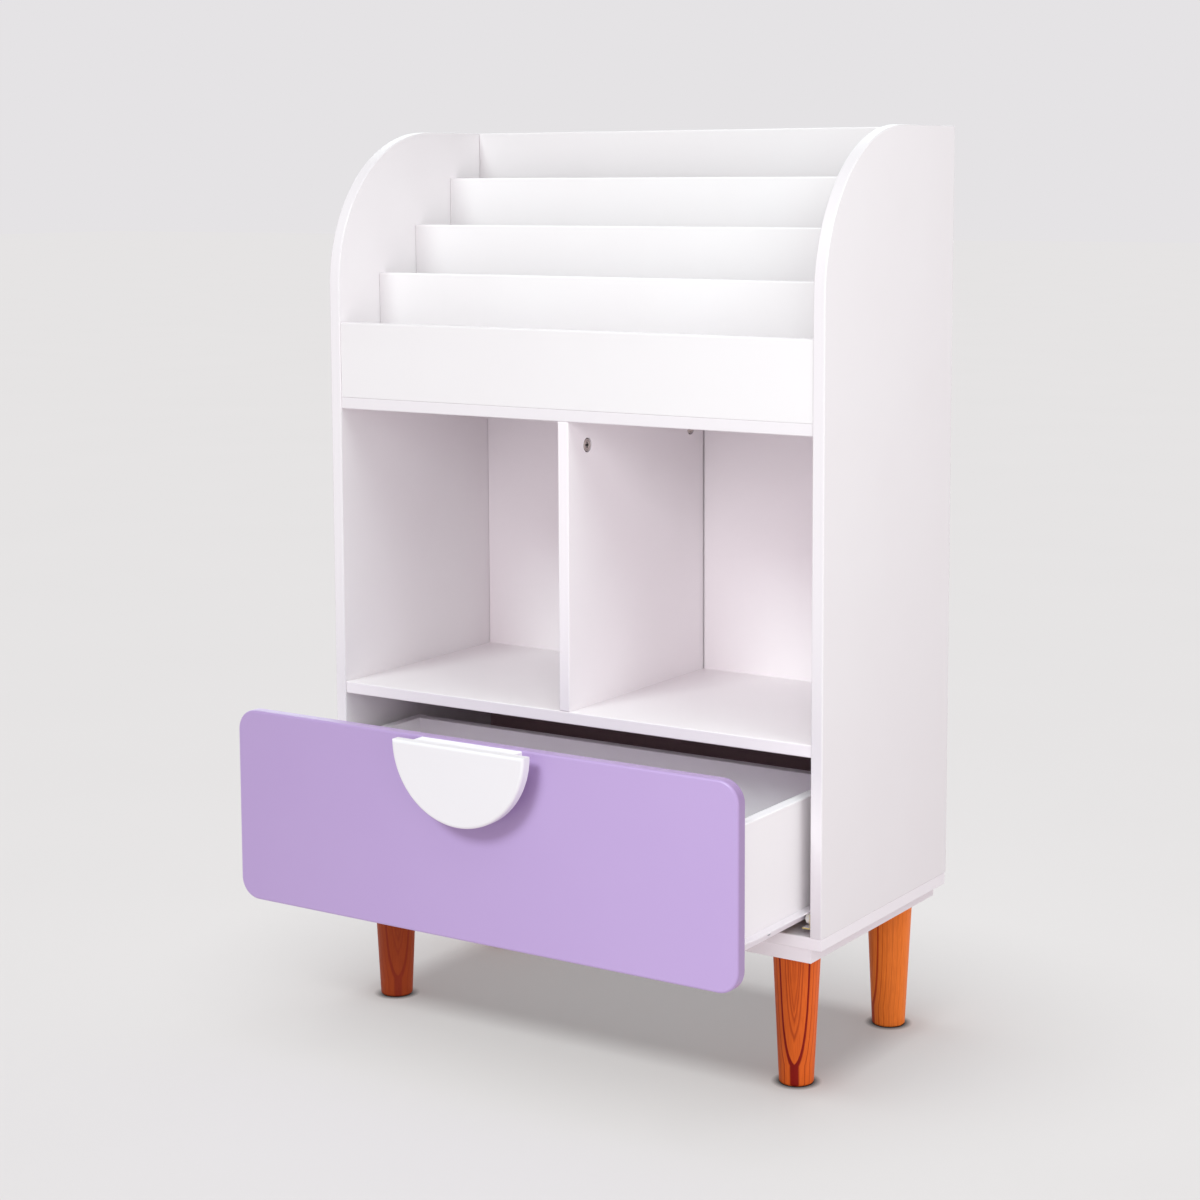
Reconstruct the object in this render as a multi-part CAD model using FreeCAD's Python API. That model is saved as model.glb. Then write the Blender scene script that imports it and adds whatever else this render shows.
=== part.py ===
import FreeCAD
import Part
import os

# Children's bookshelf: a white board carcass on four turned legs, with stepped book pockets on top,
# two open compartments below them and a drawer at the bottom, shown pulled out.
# The frame is centred left to right and front to back over the whole object, +Z up from the floor.
# The drawer opens towards -Y. All sizes are in millimetres.

# Carcass boards
BODY_WIDTH = 600.0
SIDE_DEPTH = 281.0
BOARD = 12.7
BACK_THICKNESS = 12.0
CORNER_RADIUS = 166.0
EDGE_EASE = 1.2
FRONT_SETBACK = 1.4
UPPER_BACK_RECESS = 10.0
BACK_GROOVE_SLACK = 1.6
BACK_GROOVE_DEPTH = 3.0

# Heights, from the floor up
LEG_HEIGHT = 136.0
BASE_THICKNESS = 15.0
BAY_HEIGHT = 178.0
COMPARTMENT_HEIGHT = 299.0
LIP_HEIGHT = 80.0
TIER_STEP = 51.0

# Base board and legs
BASE_SIDE_INSET = 13.0
BASE_FRONT_INSET = 4.0
BOTTOM_BACK_INSET = 3.5
LEG_INSET = 34.5
LEG_TOP_RADIUS = 24.0
LEG_FOOT_RADIUS = 17.4
LEG_EASE = 2.5
HANGER_RADIUS = 4.0
HANGER_DEPTH = 34.0
INSERT_RADIUS = 6.0
INSERT_LENGTH = 12.0

# Drawer box and front
DRAWER_OPENING = 148.0
DRAWER_BOARD = 12.0
FRONT_BOARD = 12.7
FRONT_REVEAL = 1.2
FRONT_CORNER_RADIUS = 22.0
FRONT_EDGE_ROUND = 2.6
SLIDE_GAP = 12.7
DRAWER_LIFT = 15.3
DRAWER_SIDE_HEIGHT = 119.6
DRAWER_REAR_CLEARANCE = 9.0
DRAWER_BOTTOM_THICKNESS = 3.0
DRAWER_BOTTOM_LIFT = 10.0
GROOVE_DEPTH = 5.0
GROOVE_CLEARANCE = 0.1

# Handle
HANDLE_RADIUS = 79.0
HANDLE_PLATE_THICKNESS = 11.0
HANDLE_STANDOFF = 14.2
HANDLE_DROP = 0.8
HANDLE_EDGE_ROUND = 3.0
SPACER_LENGTH = 121.0
SPACER_HEIGHT = 20.0
HANDLE_SCREW_BITE = 7.0
HANDLE_SCREW_SPACING = 80.0

# Drawer slides
STEEL = 1.2
RAIL_SHORTFALL = 10.0
RAIL_SETBACK = 2.0
RUNNER_RISE = 9.3
RUNNER_REACH = 10.0
RAMP_LENGTH = 46.0
RAMP_RISE = 3.4
CHANNEL_GAP = 1.0
CHANNEL_FLANGE = 8.0
ROLLER_RADIUS = 6.0
ROLLER_WIDTH = 5.0
ROLLER_EASE = 0.6
ROLLER_INSET = 8.0
ROLLER_STANDOFF = 0.7
REAR_ROLLER_STANDOFF = 2.4
ROLLER_RUN_GAP = 0.3
FLANGE_NOTCH_GAP = 2.0
RIVET_RADIUS = 2.5
RIVET_RUN_CLEARANCE = 0.05
RIVET_HEAD_RADIUS = 4.0
RIVET_HEAD_HEIGHT = 1.0
RIVET_END_PLAY = 0.4
REAR_TAB_RADIUS = 5.0

# Fasteners
CAM_RADIUS = 7.5
CAM_DEPTH = 9.5
CAM_SETBACK = 26.5
CAM_INSET = 36.0
REAR_CAM_INSET = 27.0
CAM_RECESS_LENGTH = 8.0
CAM_RECESS_WIDTH = 1.8
CAM_RECESS_DEPTH = 1.4
BOLT_RADIUS = 3.2
BOLT_BITE = 9.0
BOLT_NECK_RADIUS = 2.0
BOLT_HEAD_LENGTH = 3.0
DOWEL_RADIUS = 3.0
DOWEL_BITE = 8.5
DOWEL_REACH = 16.0
SCREW_RADIUS = 1.75
SCREW_HEAD_RADIUS = 3.4
SCREW_SINK = 2.2
PAN_HEAD_RADIUS = 3.0
PAN_HEAD_HEIGHT = 1.2
BOARD_SCREW_BITE = 9.5
LONG_SCREW_BITE = 34.0
FIT = 0.1

# Book pockets, each one's share of their clear depth from the front; the rear pocket takes the rest
POCKET_DEPTH_SHARES = (0.2707, 0.2572, 0.2572)

# Places along a piece, as shares of its length
END_DOWEL_SHARES = (0.25, 0.75)
DIVIDER_DOWEL_SHARES = (0.2, 0.8)
SIDE_SCREW_SHARES = (0.2, 0.8)
BASE_SCREW_SHARES = (0.25, 0.5, 0.75)
BASE_SCREW_DEPTH_SHARES = (0.12, 0.88)
BACK_SCREW_SHARES = (0.15, 0.4, 0.6, 0.85)
CABINET_SCREW_SHARES = (0.3, 0.5, 0.7)
DRAWER_RAIL_SCREW_SHARES = (0.34, 0.82)
DRAWER_CAM_SHARES = (0.3, 0.75)
BACK_JOINT_SHARES = (0.3, 0.8)

# Cutting and selecting
OVERRUN = 1.0
TOLERANCE = 0.01

Vector = FreeCAD.Vector
ORIGIN = Vector(0, 0, 0)
RIGHT = Vector(1, 0, 0)
BACKWARD = Vector(0, 1, 0)
UP = Vector(0, 0, 1)

# Places that the sizes give
half_width = BODY_WIDTH / 2
inner_x = half_width - BOARD
handle_reach = HANDLE_STANDOFF + HANDLE_PLATE_THICKNESS
front_y = (DRAWER_OPENING + FRONT_BOARD + handle_reach - SIDE_DEPTH) / 2
rear_y = front_y + SIDE_DEPTH
shelf_front_y = front_y + FRONT_SETBACK
back_y = rear_y - BACK_THICKNESS
bottom_rear_y = rear_y - BOTTOM_BACK_INSET

base_top = LEG_HEIGHT + BASE_THICKNESS
bottom_top = base_top + BOARD
bay_top = bottom_top + BAY_HEIGHT
compartment_floor = bay_top + BOARD
compartment_top = compartment_floor + COMPARTMENT_HEIGHT
pocket_floor = compartment_top + BOARD
lip_top = pocket_floor + LIP_HEIGHT
tier_tops = [lip_top + TIER_STEP * count for count in range(1, 5)]
body_top = tier_tops[-1]

lip_back_y = shelf_front_y + BOARD
upper_back_y = rear_y - UPPER_BACK_RECESS - BOARD
pockets_depth = upper_back_y - lip_back_y - BOARD * len(POCKET_DEPTH_SHARES)
divider_ys = []
pocket_front_y = lip_back_y
for depth_share in POCKET_DEPTH_SHARES:
    divider_ys.append(pocket_front_y + pockets_depth * depth_share)
    pocket_front_y = divider_ys[-1] + BOARD

base_x = half_width - BASE_SIDE_INSET
base_front_y = front_y + BASE_FRONT_INSET
leg_x = base_x - LEG_INSET
leg_ys = {"front": base_front_y + LEG_INSET, "back": bottom_rear_y - LEG_INSET}

drawer_y = front_y - DRAWER_OPENING
drawer_face_y = drawer_y - FRONT_BOARD
drawer_x = inner_x - SLIDE_GAP
drawer_inner_x = drawer_x - DRAWER_BOARD
drawer_length = SIDE_DEPTH - BACK_THICKNESS - DRAWER_REAR_CLEARANCE
drawer_rear_y = drawer_y + drawer_length
drawer_back_y = drawer_rear_y - DRAWER_BOARD
drawer_low = bottom_top + DRAWER_LIFT
drawer_top = drawer_low + DRAWER_SIDE_HEIGHT
drawer_floor = drawer_low + DRAWER_BOTTOM_LIFT
face_low = base_top + FRONT_REVEAL
face_top = compartment_floor - FRONT_REVEAL
handle_top = face_top - HANDLE_DROP
handle_back_y = drawer_face_y - HANDLE_STANDOFF
handle_front_y = handle_back_y - HANDLE_PLATE_THICKNESS

rail_length = drawer_length - RAIL_SHORTFALL
cabinet_rail_y = front_y + RAIL_SETBACK
drawer_rail_y = drawer_y + RAIL_SETBACK
drawer_rail_end_y = drawer_rail_y + rail_length
channel_x = inner_x - STEEL
web_x = drawer_x + STEEL
runner_top = drawer_low + RUNNER_RISE
runner_low = runner_top - STEEL
channel_top = runner_low - CHANNEL_GAP
channel_roof = channel_top - STEEL
channel_floor = channel_roof - 2 * (ROLLER_RADIUS + ROLLER_RUN_GAP)
channel_low = channel_floor - STEEL
front_roller_y = cabinet_rail_y + ROLLER_INSET
front_roller_z = runner_low - ROLLER_RUN_GAP - ROLLER_RADIUS
front_roller_x = channel_x - ROLLER_STANDOFF - ROLLER_WIDTH
rear_roller_y = drawer_rail_end_y - ROLLER_INSET
rear_roller_z = channel_floor + ROLLER_RUN_GAP + ROLLER_RADIUS
rear_roller_x = web_x + REAR_ROLLER_STANDOFF


def box(xs, ys, zs):
    """A block between two places along each axis."""
    size = (xs[1] - xs[0], ys[1] - ys[0], zs[1] - zs[0])
    return Part.makeBox(*size, Vector(xs[0], ys[0], zs[0]))


def rod(radius, start, direction, length):
    """A round bar from a point, along a direction."""
    return Part.makeCylinder(radius, length, start, direction)


def mirrored(shape):
    """The same shape on the other side of the object."""
    return shape.mirror(ORIGIN, RIGHT)


def cut_all(shape, tools):
    """A shape with holes, grooves or recesses taken out of it."""
    return shape.cut(Part.makeCompound(tools)) if tools else shape


def between(low, high, shares):
    """Places along a stretch, from shares of its length."""
    return [low + (high - low) * share for share in shares]


def flat_at(edge, axis, place):
    """Whether an edge lies in the plane at one place along an axis."""
    low = getattr(edge.BoundBox, axis + "Min")
    high = getattr(edge.BoundBox, axis + "Max")
    return abs(low - place) < TOLERANCE and abs(high - place) < TOLERANCE


def runs_along(edge, axis):
    """Whether an edge is a straight run along one axis."""
    spans = {name: getattr(edge.BoundBox, name + "Length") for name in "XYZ"}
    return all(span < TOLERANCE for name, span in spans.items() if name != axis)


def eased(shape, radius, chosen):
    """A shape with its chosen edges rounded."""
    return shape.makeFillet(radius, [edge for edge in shape.Edges if chosen(edge)])


def extruded(points, direction):
    """A straight-sided outline carried along a direction."""
    wire = Part.makePolygon(points + points[:1])
    return Part.Face(wire).extrude(direction)


# Fasteners and the holes that they need


def cam_joint(joint, into, face, half_board):
    """A cam lock and its bolt: joint is where the bolt crosses from one board into the other,
    into points along the bolt into the board with the cam, face points to the cam's open side."""
    centre = joint + into * CAM_SETBACK
    mouth = centre + face * half_board
    shank = CAM_SETBACK - CAM_RADIUS
    cam = rod(CAM_RADIUS, mouth, face * -1, CAM_DEPTH)
    cavity = rod(BOLT_RADIUS + FIT, joint, into, CAM_SETBACK + BOLT_HEAD_LENGTH)
    cam = cut_all(cam, [cavity] + cross_recess(mouth, face, into))
    bolt = rod(BOLT_RADIUS, joint - into * BOLT_BITE, into, BOLT_BITE + shank)
    neck = rod(BOLT_NECK_RADIUS, joint + into * shank, into, CAM_RADIUS)
    head = rod(BOLT_RADIUS, centre, into, BOLT_HEAD_LENGTH)
    return {
        "cam": cam,
        "bolt": bolt.fuse([neck, head]).removeSplitter(),
        "cam_board": [
            rod(CAM_RADIUS + FIT, mouth + face * OVERRUN, face * -1, CAM_DEPTH + OVERRUN),
            rod(BOLT_RADIUS + FIT, joint - into * OVERRUN, into, CAM_SETBACK + BOLT_HEAD_LENGTH + OVERRUN),
        ],
        "bolt_board": [rod(BOLT_RADIUS + FIT, joint + into * OVERRUN, into * -1, BOLT_BITE + OVERRUN)],
    }


def cross_recess(mouth, face, along):
    """Two crossing slots for a screwdriver, cut into the open face of a cam."""
    across = face.cross(along)
    slots = []
    for length_way, width_way in ((along, across), (across, along)):
        half_length = length_way * (CAM_RECESS_LENGTH / 2)
        half_slot = width_way * (CAM_RECESS_WIDTH / 2)
        top = mouth + face * OVERRUN
        corners = [
            top - half_length - half_slot,
            top + half_length - half_slot,
            top + half_length + half_slot,
            top - half_length + half_slot,
        ]
        slots.append(extruded(corners, face * -(CAM_RECESS_DEPTH + OVERRUN)))
    return slots


def dowel_joint(joint, into):
    """A wooden dowel across a butt joint, and the hole for it in each board."""
    start = joint - into * DOWEL_BITE
    return {
        "dowel": rod(DOWEL_RADIUS, start, into, DOWEL_BITE + DOWEL_REACH),
        "hole": rod(DOWEL_RADIUS + FIT, start, into, DOWEL_BITE + DOWEL_REACH),
    }


def sunk_screw(seat, into, length):
    """A countersunk screw whose head is flush with the face at seat, and its hole."""
    solids = []
    for gap in (0, FIT):
        shank = rod(SCREW_RADIUS + gap, seat, into, length)
        head = Part.makeCone(SCREW_HEAD_RADIUS + gap, SCREW_RADIUS + gap, SCREW_SINK, seat, into)
        solids.append(shank.fuse(head).removeSplitter())
    return {"screw": solids[0], "hole": solids[1]}


def pan_screw(seat, into, length):
    """A pan-head screw whose head rests on the face at seat, and its hole."""
    shank = rod(SCREW_RADIUS, seat, into, length)
    head = rod(PAN_HEAD_RADIUS, seat, into * -1, PAN_HEAD_HEIGHT)
    return {
        "screw": shank.fuse(head).removeSplitter(),
        "hole": rod(SCREW_RADIUS + FIT, seat - into * OVERRUN, into, length + OVERRUN),
    }


def both_sides(make):
    """The joints that make gives for each side, from the sign of that side's x."""
    return {side: make(sign) for side, sign in (("left", -1), ("right", 1))}


def shelf_joints(shelf_low, shelf_rear_y):
    """Cam joints that hold a shelf between the side panels, for each side."""
    places = (shelf_front_y + CAM_INSET, shelf_rear_y - CAM_INSET)

    def make(sign):
        middle = shelf_low + BOARD / 2
        starts = [Vector(sign * inner_x, y, middle) for y in places]
        return [cam_joint(start, RIGHT * -sign, UP * -1, BOARD / 2) for start in starts]

    return both_sides(make)


def pocket_board_joints(board_y, height):
    """Dowel joints between one upright pocket board and the side panels, for each side."""
    places = between(pocket_floor, pocket_floor + height, END_DOWEL_SHARES)

    def make(sign):
        starts = [Vector(sign * inner_x, board_y + BOARD / 2, z) for z in places]
        return [dowel_joint(start, RIGHT * -sign) for start in starts]

    return both_sides(make)


pocket_boards = {
    "pocket_front_lip": (shelf_front_y, LIP_HEIGHT),
    "pocket_divider_front": (divider_ys[0], tier_tops[0] - pocket_floor),
    "pocket_divider_middle": (divider_ys[1], tier_tops[1] - pocket_floor),
    "pocket_divider_rear": (divider_ys[2], tier_tops[2] - pocket_floor),
    "upper_back_board": (upper_back_y, body_top - pocket_floor),
}
pocket_joints = {name: pocket_board_joints(*place) for name, place in pocket_boards.items()}
bay_shelf_joints = shelf_joints(bay_top, back_y)
pocket_shelf_joints = shelf_joints(compartment_top, rear_y)

divider_cams = [
    cam_joint(Vector(0, y, compartment_top), UP * -1, RIGHT, BOARD / 2)
    for y in (shelf_front_y + CAM_INSET, back_y - REAR_CAM_INSET)
]
divider_dowel_joints = [
    dowel_joint(Vector(0, y, compartment_floor), UP)
    for y in between(shelf_front_y, back_y, DIVIDER_DOWEL_SHARES)
]
side_screws = both_sides(
    lambda sign: [
        sunk_screw(Vector(sign * (half_width - BOARD / 2), y, base_top), UP, BOARD + LONG_SCREW_BITE)
        for y in between(front_y, bottom_rear_y, SIDE_SCREW_SHARES)
    ]
)
base_screws = [
    sunk_screw(Vector(x, y, LEG_HEIGHT), UP, BASE_THICKNESS + BOARD_SCREW_BITE)
    for x in between(-base_x, base_x, BASE_SCREW_SHARES)
    for y in between(base_front_y, bottom_rear_y, BASE_SCREW_DEPTH_SHARES)
]
back_screws = [
    sunk_screw(Vector(x, rear_y, bay_top + BOARD / 2), BACKWARD * -1, BACK_THICKNESS + LONG_SCREW_BITE)
    for x in between(-inner_x, inner_x, BACK_SCREW_SHARES)
]
cabinet_screws = both_sides(
    lambda sign: [
        pan_screw(
            Vector(sign * channel_x, y, (channel_floor + channel_roof) / 2),
            RIGHT * sign,
            STEEL + BOARD_SCREW_BITE,
        )
        for y in between(front_y, bottom_rear_y, CABINET_SCREW_SHARES)
    ]
)
drawer_rail_screws = both_sides(
    lambda sign: [
        pan_screw(
            Vector(sign * web_x, y, (drawer_low + runner_low) / 2),
            RIGHT * -sign,
            STEEL + BOARD_SCREW_BITE,
        )
        for y in between(drawer_rail_y, drawer_rail_end_y, DRAWER_RAIL_SCREW_SHARES)
    ]
)
drawer_cams = both_sides(
    lambda sign: [
        cam_joint(
            Vector(sign * (drawer_x - DRAWER_BOARD / 2), drawer_y, z),
            BACKWARD,
            RIGHT * -sign,
            DRAWER_BOARD / 2,
        )
        for z in between(drawer_low, drawer_top, DRAWER_CAM_SHARES)
    ]
)
drawer_back_screws = both_sides(
    lambda sign: [
        sunk_screw(
            Vector(sign * drawer_x, drawer_rear_y - DRAWER_BOARD / 2, z),
            RIGHT * -sign,
            DRAWER_BOARD + LONG_SCREW_BITE,
        )
        for z in between(drawer_low, drawer_top, BACK_JOINT_SHARES)
    ]
)
handle_screw_length = FRONT_BOARD + HANDLE_STANDOFF + HANDLE_SCREW_BITE
handle_screws = [
    pan_screw(
        Vector(sign * HANDLE_SCREW_SPACING / 2, drawer_y, handle_top - SPACER_HEIGHT / 2),
        BACKWARD * -1,
        handle_screw_length,
    )
    for sign in (-1, 1)
]


def gather(joints, key):
    """All the solids or holes of one kind in a list of joints."""
    found = []
    for joint in joints:
        held = joint[key]
        found.extend(held if isinstance(held, list) else [held])
    return found


def on_both(joints):
    """The joints of the left side, then those of the right."""
    return joints["left"] + joints["right"]


# Carcass boards


def side_panel(side, sign):
    """An upright board with a quarter-round top front corner and eased edges."""
    arc_y = front_y + CORNER_RADIUS
    arc_z = body_top - CORNER_RADIUS
    turn = CORNER_RADIUS * 0.5 ** 0.5
    corners = [
        Vector(inner_x, front_y, arc_z),
        Vector(inner_x, front_y, bottom_top),
        Vector(inner_x, rear_y, bottom_top),
        Vector(inner_x, rear_y, body_top),
        Vector(inner_x, arc_y, body_top),
    ]
    middle = Vector(inner_x, arc_y - turn, arc_z + turn)
    outline = [Part.makeLine(start, end) for start, end in zip(corners, corners[1:])]
    outline.append(Part.Arc(corners[-1], middle, corners[0]).toShape())
    panel = Part.Face(Part.Wire(outline)).extrude(RIGHT * BOARD)
    panel = eased(
        panel,
        EDGE_EASE,
        lambda edge: (flat_at(edge, "X", inner_x) or flat_at(edge, "X", half_width))
        and not flat_at(edge, "Z", bottom_top),
    )
    panel = panel if sign > 0 else mirrored(panel)
    shelf_holes = gather(bay_shelf_joints[side] + pocket_shelf_joints[side], "bolt_board")
    dowel_holes = [hole for joints in pocket_joints.values() for hole in gather(joints[side], "hole")]
    screw_holes = gather(side_screws[side] + cabinet_screws[side], "hole")
    return cut_all(panel, shelf_holes + dowel_holes + screw_holes)


def bottom_board():
    """The full-width board that the side panels stand on."""
    board = box((-half_width, half_width), (front_y, bottom_rear_y), (base_top, bottom_top))
    board = eased(board, EDGE_EASE, lambda edge: not runs_along(edge, "Z"))
    return cut_all(board, gather(on_both(side_screws) + base_screws, "hole"))


def base_board():
    """The smaller board under the bottom board, with sockets for the leg inserts."""
    board = box((-base_x, base_x), (base_front_y, bottom_rear_y), (LEG_HEIGHT, base_top))
    board = eased(board, EDGE_EASE, lambda edge: flat_at(edge, "Z", LEG_HEIGHT))
    sockets = [
        rod(INSERT_RADIUS + FIT, place - UP * OVERRUN, UP, INSERT_LENGTH + OVERRUN)
        for place in leg_places().values()
    ]
    return cut_all(board, sockets + gather(base_screws, "hole"))


def shelf(low, rear, joints):
    """A shelf between the side panels, with the edges of its front face eased."""
    board = box((-inner_x, inner_x), (shelf_front_y, rear), (low, low + BOARD))
    board = eased(board, EDGE_EASE, lambda edge: flat_at(edge, "Y", shelf_front_y))
    return cut_all(board, gather(on_both(joints), "cam_board"))


def drawer_bay_shelf():
    """The shelf over the drawer, which also takes the divider's dowels and the back's screws."""
    holes = gather(divider_dowel_joints + back_screws, "hole")
    return cut_all(shelf(bay_top, back_y, bay_shelf_joints), holes)


def pocket_shelf():
    """The floor of the book pockets, which also takes the bolts of the divider's cams."""
    return cut_all(shelf(compartment_top, rear_y, pocket_shelf_joints), gather(divider_cams, "bolt_board"))


def compartment_divider():
    """The upright between the compartments, with cams near its top and dowels in its foot."""
    zs = (compartment_floor, compartment_top)
    board = box((-BOARD / 2, BOARD / 2), (shelf_front_y, back_y), zs)
    board = eased(board, EDGE_EASE, lambda edge: flat_at(edge, "Y", shelf_front_y))
    return cut_all(board, gather(divider_cams, "cam_board") + gather(divider_dowel_joints, "hole"))


def pocket_board(name):
    """An upright board of the book pockets, with its top edges and the ends of its front face eased."""
    board_y, height = pocket_boards[name]
    top = pocket_floor + height
    board = box((-inner_x, inner_x), (board_y, board_y + BOARD), (pocket_floor, top))
    board = eased(
        board,
        EDGE_EASE,
        lambda edge: (flat_at(edge, "Z", top) and runs_along(edge, "X"))
        or (flat_at(edge, "Y", board_y) and runs_along(edge, "Z")),
    )
    return cut_all(board, gather(on_both(pocket_joints[name]), "hole"))


def lower_back_board():
    """The back of the compartments and of the drawer bay, grooved where the divider ends."""
    board = box((-inner_x, inner_x), (back_y, rear_y), (bottom_top, compartment_top))
    board = eased(board, EDGE_EASE, lambda edge: flat_at(edge, "Y", back_y) and runs_along(edge, "Z"))
    groove_x = BOARD / 2 + BACK_GROOVE_SLACK
    groove_ys = (back_y - OVERRUN, back_y + BACK_GROOVE_DEPTH)
    groove = box((-groove_x, groove_x), groove_ys, (compartment_floor, compartment_top + OVERRUN))
    return cut_all(board, gather(back_screws, "hole") + [groove])


# Legs


def leg_places():
    """Where the axis of each leg meets the base board."""
    return {
        f"leg_{row}_{side}": Vector(sign * leg_x, y, LEG_HEIGHT)
        for row, y in leg_ys.items()
        for side, sign in (("left", -1), ("right", 1))
    }


def leg(place):
    """A turned leg that tapers to a foot with an eased rim, bored for its hanger bolt."""
    foot = place - UP * LEG_HEIGHT
    body = Part.makeCone(LEG_FOOT_RADIUS, LEG_TOP_RADIUS, LEG_HEIGHT, foot, UP)
    body = eased(body, LEG_EASE, lambda edge: flat_at(edge, "Z", 0))
    body = eased(body, EDGE_EASE, lambda edge: flat_at(edge, "Z", LEG_HEIGHT))
    return body.cut(rod(HANGER_RADIUS + FIT, place - UP * HANGER_DEPTH, UP, HANGER_DEPTH + OVERRUN))


def hanger_bolt(place):
    """A bolt that is screwed into the leg below and into the insert above."""
    return rod(HANGER_RADIUS, place - UP * HANGER_DEPTH, UP, HANGER_DEPTH + INSERT_LENGTH)


def threaded_insert(place):
    """A brass sleeve in the base board."""
    sleeve = rod(INSERT_RADIUS, place, UP, INSERT_LENGTH)
    return sleeve.cut(rod(HANGER_RADIUS + FIT, place - UP * OVERRUN, UP, INSERT_LENGTH + 2 * OVERRUN))


# Drawer


def drawer_front():
    """The lilac board with rounded corners and softened edges, grooved for the drawer's bottom."""
    board = box((-half_width, half_width), (drawer_face_y, drawer_y), (face_low, face_top))
    board = eased(board, FRONT_CORNER_RADIUS, lambda edge: runs_along(edge, "Y"))
    board = eased(board, FRONT_EDGE_ROUND, lambda edge: flat_at(edge, "Y", drawer_face_y))
    board = eased(board, EDGE_EASE, lambda edge: flat_at(edge, "Y", drawer_y))
    holes = gather(on_both(drawer_cams), "bolt_board") + gather(handle_screws, "hole")
    return cut_all(board, holes + [bottom_groove()])


def bottom_groove():
    """The space that the drawer's bottom takes in the boards around it."""
    return drawer_bottom(GROOVE_CLEARANCE)


def drawer_bottom(clearance=0):
    """The thin panel that sits in a groove all round the drawer."""
    reach = GROOVE_DEPTH + clearance
    return box(
        (-drawer_inner_x - reach, drawer_inner_x + reach),
        (drawer_y - reach, drawer_back_y + reach),
        (drawer_floor - clearance, drawer_floor + DRAWER_BOTTOM_THICKNESS + clearance),
    )


def drawer_side(side, sign):
    """A side of the drawer box, from the front to the rear, with its top edges eased."""
    board = box((drawer_inner_x, drawer_x), (drawer_y, drawer_rear_y), (drawer_low, drawer_top))
    board = eased(board, EDGE_EASE, lambda edge: flat_at(edge, "Z", drawer_top) and runs_along(edge, "Y"))
    board = board if sign > 0 else mirrored(board)
    holes = gather(drawer_cams[side], "cam_board")
    holes += gather(drawer_back_screws[side] + drawer_rail_screws[side], "hole")
    return cut_all(board, holes + [bottom_groove()])


def drawer_back():
    """The rear of the drawer box, between its sides."""
    board = box((-drawer_inner_x, drawer_inner_x), (drawer_back_y, drawer_rear_y), (drawer_low, drawer_top))
    board = eased(board, EDGE_EASE, lambda edge: flat_at(edge, "Z", drawer_top) and runs_along(edge, "X"))
    return cut_all(board, gather(on_both(drawer_back_screws), "hole") + [bottom_groove()])


def handle_plate():
    """The half-disc that is pulled, with softened edges and its straight side up."""
    left = Vector(-HANDLE_RADIUS, handle_front_y, handle_top)
    right = Vector(HANDLE_RADIUS, handle_front_y, handle_top)
    bottom = Vector(0, handle_front_y, handle_top - HANDLE_RADIUS)
    outline = [Part.makeLine(left, right), Part.Arc(right, bottom, left).toShape()]
    plate = Part.Face(Part.Wire(outline)).extrude(BACKWARD * HANDLE_PLATE_THICKNESS)
    plate = eased(plate, HANDLE_EDGE_ROUND, lambda edge: flat_at(edge, "Y", handle_front_y))
    return cut_all(plate, gather(handle_screws, "hole"))


def handle_spacer():
    """The block that holds the half-disc off the drawer front, flush with its top."""
    half_length = SPACER_LENGTH / 2
    low = handle_top - SPACER_HEIGHT
    block = box((-half_length, half_length), (handle_back_y, drawer_face_y), (low, handle_top))
    block = eased(block, EDGE_EASE, lambda edge: runs_along(edge, "Y"))
    return cut_all(block, gather(handle_screws, "hole"))


# Drawer slides


def cabinet_rail(side, sign):
    """A steel channel on the side panel, cut away at the front for its roller."""
    end_y = cabinet_rail_y + rail_length
    flange_x = channel_x - CHANNEL_FLANGE
    notch_y = front_roller_y + ROLLER_RADIUS + FLANGE_NOTCH_GAP
    web = box((channel_x, inner_x), (cabinet_rail_y, end_y), (channel_low, channel_top))
    floor = box((flange_x, inner_x), (cabinet_rail_y, end_y), (channel_low, channel_floor))
    roof = box((flange_x, inner_x), (notch_y, end_y), (channel_roof, channel_top))
    rail = web.fuse([floor, roof]).removeSplitter()
    axle = Vector(channel_x - OVERRUN, front_roller_y, front_roller_z)
    rail = rail.cut(rod(RIVET_RADIUS + FIT, axle, RIGHT, STEEL + 2 * OVERRUN))
    rail = rail if sign > 0 else mirrored(rail)
    return cut_all(rail, gather(cabinet_screws[side], "hole"))


def drawer_rail(side, sign):
    """A steel rail round the lower edge of the drawer side: a seat under it, a web outside it,
    a runner that stands out over the front roller and climbs at its front, so that the drawer
    falls shut, and a tab at the rear for the rear roller."""
    ys = (drawer_rail_y, drawer_rail_end_y)
    seat = box((drawer_inner_x, web_x), ys, (drawer_low - STEEL, drawer_low))
    run = (
        (drawer_rail_end_y, runner_top),
        (drawer_rail_y + RAMP_LENGTH, runner_top),
        (drawer_rail_y, runner_top + RAMP_RISE),
    )
    upper = [Vector(drawer_x, y, z) for y, z in run]
    under = [point - UP * STEEL for point in reversed(upper)]
    foot = [Vector(drawer_x, y, drawer_low - STEEL) for y in ys]
    web = extruded(upper + foot, RIGHT * STEEL)
    runner = extruded(upper + under, RIGHT * RUNNER_REACH)
    tab_y = rear_roller_y - REAR_TAB_RADIUS
    tab = box((drawer_x, web_x), (tab_y, drawer_rail_end_y), (rear_roller_z - REAR_TAB_RADIUS, runner_top))
    rail = web.fuse([seat, runner, tab]).removeSplitter()
    axle = Vector(drawer_x - OVERRUN, rear_roller_y, rear_roller_z)
    rail = rail.cut(rod(RIVET_RADIUS + FIT, axle, RIGHT, STEEL + 2 * OVERRUN))
    rail = rail if sign > 0 else mirrored(rail)
    return cut_all(rail, gather(drawer_rail_screws[side], "hole"))


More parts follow.
